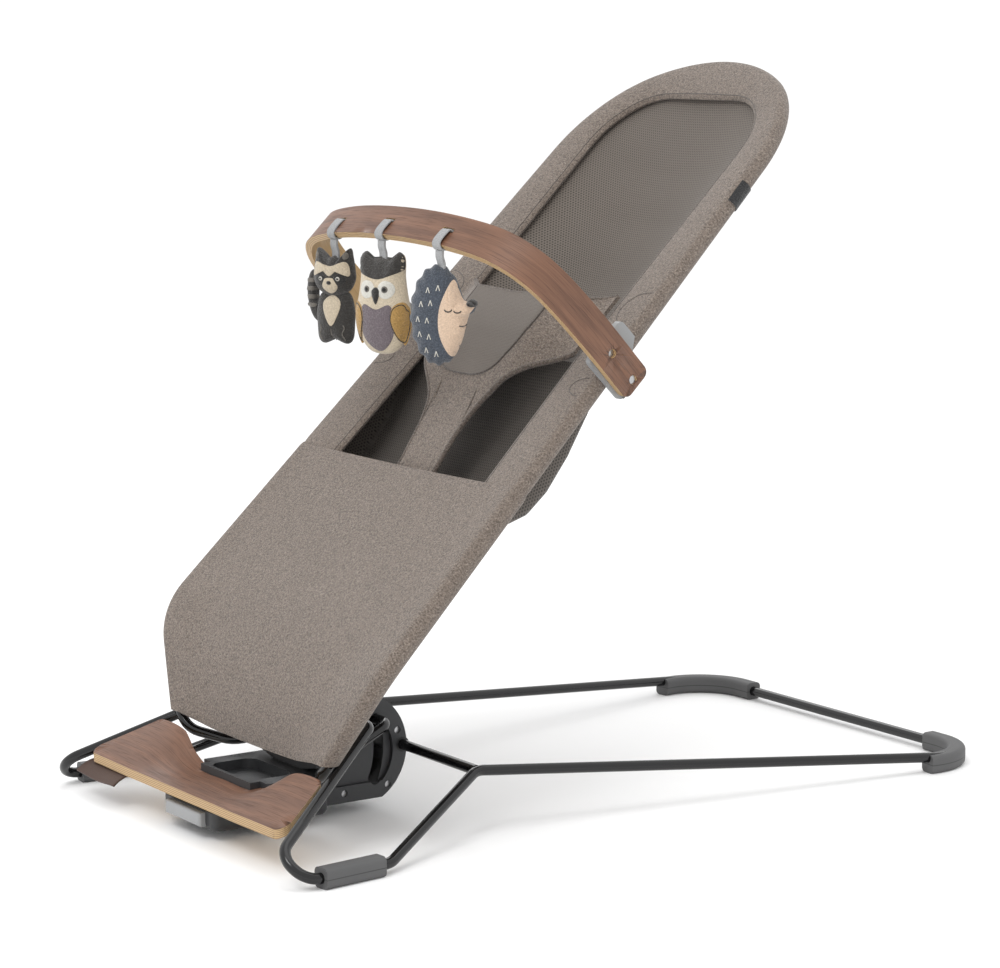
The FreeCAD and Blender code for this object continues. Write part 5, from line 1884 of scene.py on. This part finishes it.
@dataclass
class Toys:
    """The three felt animals on the toy bar, each turned on its webbing."""

    finishes: Finishes
    yaw: dict[str, float] = field(default_factory=lambda: {"raccoon": 30.0, "owl": 27.0, "hedgehog": 45.0})

    def stitch(self, lobe: Lobe, points: Sequence[Point], radius: float = 0.0005) -> bpy.types.Object:
        """A stitched line on a lobe's front.

        Args:
            lobe: the lobe that carries the line.
            points: the line's (u, z) points.
            radius: the thread's radius.

        Returns:
            The thread.
        """
        line = [Vector((u, -(lobe.front(u, z) + radius * 0.4), z)) for u, z in points]
        return tube("stitch", line, radius, 6)

    def hang(self, label: str, groups: Sequence[tuple[str, list[bpy.types.Object]]]) -> None:
        """Joins a toy's parts, turns it and hangs it under its webbing.

        Args:
            label: the toy's body name.
            groups: names and lists of parts; the first stands for the CAD node.
        """
        joint = next(j for j in frame["record"]["behaviour"]["joints"] if j["name"] == label + "_swing")
        pivot = Vector(joint["pos_m"])
        place = Matrix.Translation(pivot) @ Matrix.Rotation(math.radians(self.yaw[label]), 4, "Z")
        for index, (name, parts) in enumerate(groups):
            obj = join(label + "_" + name, parts)
            obj.data.transform(place)
            settle(obj, label, ["toy_" + label] if index == 0 else [])

    def raccoon(self) -> None:
        """A sitting raccoon with a ringed tail."""
        f = self.finishes
        body = Lobe([(-0.012, -0.036), (0.012, -0.036), (0.0185, -0.050), (0.0185, -0.066), (0.017, -0.079),
                     (0.012, -0.0835), (0.004, -0.081), (0.0, -0.079), (-0.004, -0.081), (-0.012, -0.0835),
                     (-0.017, -0.079), (-0.0185, -0.066), (-0.0185, -0.050)], 0.0105)
        head = Lobe([(0.0, -0.0035), (0.007, -0.006), (0.0115, -0.0005), (0.0165, 0.0035), (0.0185, -0.004),
                     (0.0205, -0.016), (0.0205, -0.026), (0.014, -0.036), (0.0, -0.0405), (-0.014, -0.036),
                     (-0.0205, -0.026), (-0.0205, -0.016), (-0.0185, -0.004), (-0.0165, 0.0035),
                     (-0.0115, -0.0005), (-0.007, -0.006)], 0.0115, (0.0, -0.021), -0.002)
        tail = Lobe([(-0.014, -0.066), (-0.024, -0.062), (-0.0295, -0.048), (-0.031, -0.032), (-0.0285, -0.020),
                     (-0.024, -0.017), (-0.0205, -0.021), (-0.021, -0.032), (-0.0205, -0.045), (-0.016, -0.054)],
                    0.0065, (-0.0245, -0.042), 0.004)
        main = [body.build("body", f.charcoal_felt), head.build("head", f.charcoal_felt),
                tail.build("tail", f.charcoal_felt)]
        patches = [
            Lobe([(0.0, -0.039), (0.0085, -0.045), (0.007, -0.056), (0.0, -0.067), (-0.007, -0.056),
                  (-0.0085, -0.045)], 0.0010, parent=body).build("chest", f.cream_felt),
            Lobe([(-0.0145, -0.0085), (0.0, -0.0125), (0.0145, -0.0085), (0.0185, -0.017), (0.017, -0.0215),
                  (0.008, -0.0165),
                  (0.0, -0.0215), (-0.008, -0.0165), (-0.017, -0.0215), (-0.0185, -0.017)],
                 0.0008, (0.0, -0.0145), parent=head).build("brow", f.cream_felt),
            Lobe([(-0.005, -0.024), (0.005, -0.024), (0.0075, -0.032), (0.0, -0.0375), (-0.0075, -0.032)],
                 0.0012, parent=head).build("muzzle", f.cream_felt),
        ]
        for side in (-1, 1):
            patches.append(Lobe(oval(side * 0.0095, -0.0245, 0.0062, 0.0048, tilt=side * 0.5), 0.0007,
                                parent=head).build("mask", f.black_felt))
            patches.append(Lobe(oval(side * 0.0088, -0.0238, 0.0021, 0.0021, 8), 0.0016,
                                parent=head).build("eye", f.white_felt))
            patches.append(Lobe(oval(side * 0.0088, -0.0238, 0.0013, 0.0013, 8), 0.0022,
                                parent=head).build("pupil", f.black_felt))
            patches.append(Lobe(oval(side * 0.0145, -0.0032, 0.0022, 0.0032, 8), 0.0010,
                                parent=head).build("ear", f.smoke_felt))
        patches.append(Lobe(oval(0.0, -0.0275, 0.0026, 0.0020, 8), 0.0026, parent=head).build("nose", f.black_felt))
        for z in (-0.025, -0.0325, -0.040, -0.0475):
            patches.append(Lobe([(-0.0305, z), (-0.0205, z), (-0.0205, z - 0.0032), (-0.0305, z - 0.0032)],
                                0.0005, parent=tail).build("ring", f.smoke_felt))
        lines = [self.stitch(body, [(0.0, -0.070 - 0.0105 * k / 8) for k in range(9)]),
                 self.stitch(body, [(0.0115 + 0.001 * math.sin(k), -0.066 - 0.014 * k / 8) for k in range(9)]),
                 self.stitch(body, [(-0.0115 + 0.001 * math.sin(k), -0.066 - 0.014 * k / 8) for k in range(9)])]
        for line in lines:
            dress(line, f.smoke_felt)
        self.hang("raccoon", [("felt", main), ("patches", patches + lines)])

    def owl(self) -> None:
        """An owl with folded wings."""
        f = self.finishes
        body = Lobe([(0.0, -0.004), (0.010, -0.0045), (0.0165, 0.0005), (0.0215, -0.003), (0.0215, -0.018),
                     (0.0235, -0.034), (0.0265, -0.050), (0.0255, -0.066), (0.0195, -0.080), (0.009, -0.0885),
                     (-0.009, -0.0885), (-0.0195, -0.080), (-0.0255, -0.066), (-0.0265, -0.050),
                     (-0.0235, -0.034), (-0.0215, -0.018), (-0.0215, -0.003), (-0.0165, 0.0005),
                     (-0.010, -0.0045)], 0.0140, (0.0, -0.045))
        main = [body.build("body", f.cream_felt)]
        patches = [
            Lobe([(0.0, -0.003), (0.010, -0.0035), (0.0165, 0.0012), (0.0219, -0.003), (0.0219, -0.014),
                  (0.012, -0.0195),
                  (0.0, -0.0225), (-0.012, -0.0195), (-0.0219, -0.014), (-0.0219, -0.003), (-0.0165, 0.0012),
                  (-0.010, -0.0035)], 0.0009, (0.0, -0.011), parent=body).build("cap", f.charcoal_felt),
            Lobe([(0.0, -0.049), (0.013, -0.045), (0.0175, -0.058), (0.0135, -0.076), (0.0, -0.0865),
                  (-0.0135, -0.076), (-0.0175, -0.058), (-0.013, -0.045)], 0.0009,
                 parent=body).build("belly", f.plum_felt),
        ]
        for side in (-1, 1):
            patches.append(Lobe(oval(side * 0.0095, -0.0315, 0.0080, 0.0080), 0.0008,
                                parent=body).build("eye_disc", f.white_felt))
            patches.append(Lobe(oval(side * 0.0090, -0.0312, 0.0033, 0.0033, 10), 0.0018,
                                parent=body).build("eye_rim", f.smoke_felt))
            patches.append(Lobe(oval(side * 0.0090, -0.0312, 0.0023, 0.0023, 8), 0.0026,
                                parent=body).build("eye", f.black_felt))
            wing = Lobe([(side * 0.0245, -0.043), (side * 0.0165, -0.046), (side * 0.0135, -0.056),
                         (side * 0.0155, -0.067), (side * 0.0215, -0.081), (side * 0.0265, -0.072),
                         (side * 0.0285, -0.058)], 0.0018, parent=body)
            patches.append(wing.build("wing", f.mustard_felt))
            edge = [(u + (wing.centre[0] - u) * 0.12, z + (wing.centre[1] - z) * 0.12) for u, z in wing.outline]
            raised = [Vector((u, -(wing.front(u, z) + 0.0002), z)) for u, z in edge]
            line = tube("wing_stitch", raised, 0.00045, 6, True)
            dress(line, f.black_felt)
            patches.append(line)
        patches.append(Lobe([(0.0, -0.0295), (0.0040, -0.0335), (0.0, -0.0445), (-0.0040, -0.0335)], 0.0026,
                            parent=body).build("beak", f.black_felt))
        self.hang("owl", [("felt", main), ("patches", patches)])

    def hedgehog(self) -> None:
        """A hedgehog in profile, with a scalloped back."""
        f = self.finishes
        back = []
        count = 22
        for k in range(count):
            a = math.radians(62 + 232 * k / (count - 1))
            bump = 0.0015 if k % 2 else -0.0004
            back.append((-0.003 + (0.0235 + bump) * math.cos(a), -0.0445 + (0.0425 + bump) * math.sin(a)))
        outline = back + [(0.012, -0.078), (0.0175, -0.068), (0.0205, -0.056), (0.0225, -0.046), (0.0285, -0.041),
                          (0.0300, -0.036), (0.0270, -0.0325), (0.0205, -0.0315), (0.0165, -0.022), (0.0125, -0.012)]
        body = Lobe(outline, 0.0125, (0.0, -0.045))
        main = [body.build("body", f.slate_felt)]
        face = Lobe([(0.0115, -0.0135), (0.0165, -0.0235), (0.0205, -0.0315), (0.0280, -0.0335), (0.0295, -0.037),
                     (0.0240, -0.045), (0.0210, -0.056), (0.0175, -0.068), (0.0105, -0.080), (0.0035, -0.070),
                     (-0.0005, -0.056), (0.0, -0.040), (0.0045, -0.026)], 0.0022, (0.0105, -0.045), parent=body)
        ear = Lobe([(0.0085, -0.019), (0.0135, -0.024), (0.0150, -0.033), (0.0110, -0.0365), (0.0085, -0.030)],
                   0.0018, parent=face)
        patches = [face.build("face", f.peach_felt), ear.build("ear", f.peach_felt),
                   Lobe(oval(0.0275, -0.0335, 0.0046, 0.0032, 10, -0.3), 0.0062,
                        parent=face).build("nose", f.black_felt)]
        lines = [self.stitch(face, [(0.0085 + 0.0030 * math.cos(a), -0.0385 - 0.0020 * math.sin(a))
                                    for a in (math.pi * k / 10 for k in range(11))], 0.0006),
                 self.stitch(face, [(0.0165 + 0.0030 * math.cos(a), -0.0395 - 0.0018 * math.sin(a))
                                    for a in (math.pi * k / 10 for k in range(11))], 0.0006),
                 self.stitch(face, [(0.0195 + 0.0032 * math.cos(a), -0.0505 - 0.0030 * math.sin(a))
                                    for a in (math.pi * (0.15 + 0.6 * k / 10) for k in range(11))], 0.0005)]
        for line in lines:
            dress(line, f.black_felt)
        threads = []
        for u, z in ((-0.010, -0.020), (-0.001, -0.018), (-0.016, -0.032), (-0.0075, -0.031), (-0.019, -0.045),
                     (-0.0105, -0.046), (-0.0175, -0.058), (-0.009, -0.060), (-0.012, -0.072), (-0.003, -0.075)):
            for lean in (-1, 1):
                ends = [(u, z), (u + lean * 0.0016, z - 0.0048)]
                thread = self.stitch(body, [(ends[0][0] + (ends[1][0] - ends[0][0]) * k / 3,
                                             ends[0][1] + (ends[1][1] - ends[0][1]) * k / 3)
                                            for k in range(4)], 0.00042)
                dress(thread, f.white_felt)
                threads.append(thread)
        self.hang("hedgehog", [("felt", main), ("patches", patches + lines + threads)])

    def build(self) -> None:
        """Makes the three toys."""
        self.raccoon()
        self.owl()
        self.hedgehog()


# ---------------------------------------------------------------- carried-over nodes and studio


@dataclass
class HardParts:
    """The CAD nodes that keep their shape and take a finish."""

    finishes: Finishes

    def build(self) -> None:
        """Dresses each carried-over node."""
        f = self.finishes
        plan = {
            "black_rod": f.rod, "grey_rubber": f.rubber, "charcoal_plastic": f.housing, "black_plastic": f.black,
            "light_grey_plastic": f.grey, "steel": f.steel, "spring_steel": f.steel,
        }
        slots = {part["node"]: part["material_slot"] for part in frame["record"]["subparts"]}
        for node, source in frame["nodes"].items():
            obj = bpy.data.objects[source] if isinstance(source, str) else source
            if slots[node] in plan:
                dress(obj, plan[slots[node]])
                LOG.info("%s: dressed as %s", node, slots[node])


@dataclass
class Studio:
    """The camera, floor and lights."""

    place: tuple[float, float, float] = (2.252295, -1.578327, 0.685439)
    azimuth: float = 55.5606
    elevation: float = 8.4896
    lens: float = 108.632
    floor_half: float = 30.0

    def camera(self) -> None:
        """Adds the camera."""
        data = bpy.data.cameras.new("camera")
        data.lens = self.lens
        data.sensor_width = 36.0
        data.clip_end = 200.0
        camera = bpy.data.objects.new("camera", data)
        bpy.context.scene.collection.objects.link(camera)
        camera.location = self.place
        camera.rotation_euler = (math.radians(90.0 - self.elevation), 0.0, math.radians(self.azimuth))
        bpy.context.scene.camera = camera

    def floor(self) -> None:
        """Adds the pale floor."""
        bpy.ops.object.select_all(action="DESELECT")
        bpy.ops.mesh.primitive_plane_add(size=2 * self.floor_half, location=(0.0, 0.0, 0.0))
        floor = bpy.context.active_object
        floor.name = "studio_floor"
        material, g, shader = start_material("studio_white")
        noise = g.add("TexNoise", Vector=read_space(g, Space.OBJECT), Scale=2.0)
        tone = g.mix(noise.outputs[0], (0.955, 0.955, 0.955), (0.965, 0.965, 0.965))
        g.tree.links.new(tone, shader.inputs["Base Color"])
        shader.inputs["Roughness"].default_value = 0.7
        shader.inputs["Specular IOR Level"].default_value = 0.2
        dress(floor, material)

    def light(self, name: str, place: tuple[float, float, float], aim: tuple[float, float, float], size: float,
              power: float) -> None:
        """Adds one soft square light.

        Args:
            name: the light's name.
            place: where it stands.
            aim: what it faces.
            size: its side in metres.
            power: its power in watts.
        """
        data = bpy.data.lights.new(name, "AREA")
        data.shape = "SQUARE"
        data.size = size
        data.energy = power
        light = bpy.data.objects.new(name, data)
        bpy.context.scene.collection.objects.link(light)
        light.location = place
        light.rotation_euler = (Vector(aim) - Vector(place)).to_track_quat("-Z", "Y").to_euler()

    def build(self) -> None:
        """Sets up the whole studio."""
        self.camera()
        self.floor()
        world = bpy.data.worlds.new("studio_world")
        bpy.context.scene.world = world
        world.use_nodes = True
        g = Graph(world.node_tree)
        g.add("OutputWorld", Surface=g.add("Background", Color=(1.0, 1.0, 1.0, 1.0), Strength=1.08).outputs[0])
        self.light("key", (0.9, -2.0, 2.6), (0.0, 0.0, 0.3), 1.2, 26.0)
        self.light("rim", (-2.4, 1.2, 2.2), (0.0, 0.0, 0.4), 1.2, 10.0)
        self.light("top", (0.4, 0.4, 3.0), (0.0, 0.0, 0.0), 2.0, 12.0)
        bpy.context.scene.view_settings.view_transform = "Standard"


def main() -> None:
    """Builds every part of the scene in order."""
    logging.basicConfig(level=logging.INFO, format="%(name)s: %(message)s")
    random.seed(7)
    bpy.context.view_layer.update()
    Studio().build()
    finishes = Finishes()
    HardParts(finishes).build()
    Cover(finishes).build()
    Harness(finishes).build()
    Wood(finishes).build()
    Trim(finishes).build()
    Toys(finishes).build()
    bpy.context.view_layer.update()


if __name__ == "__main__":
    main()
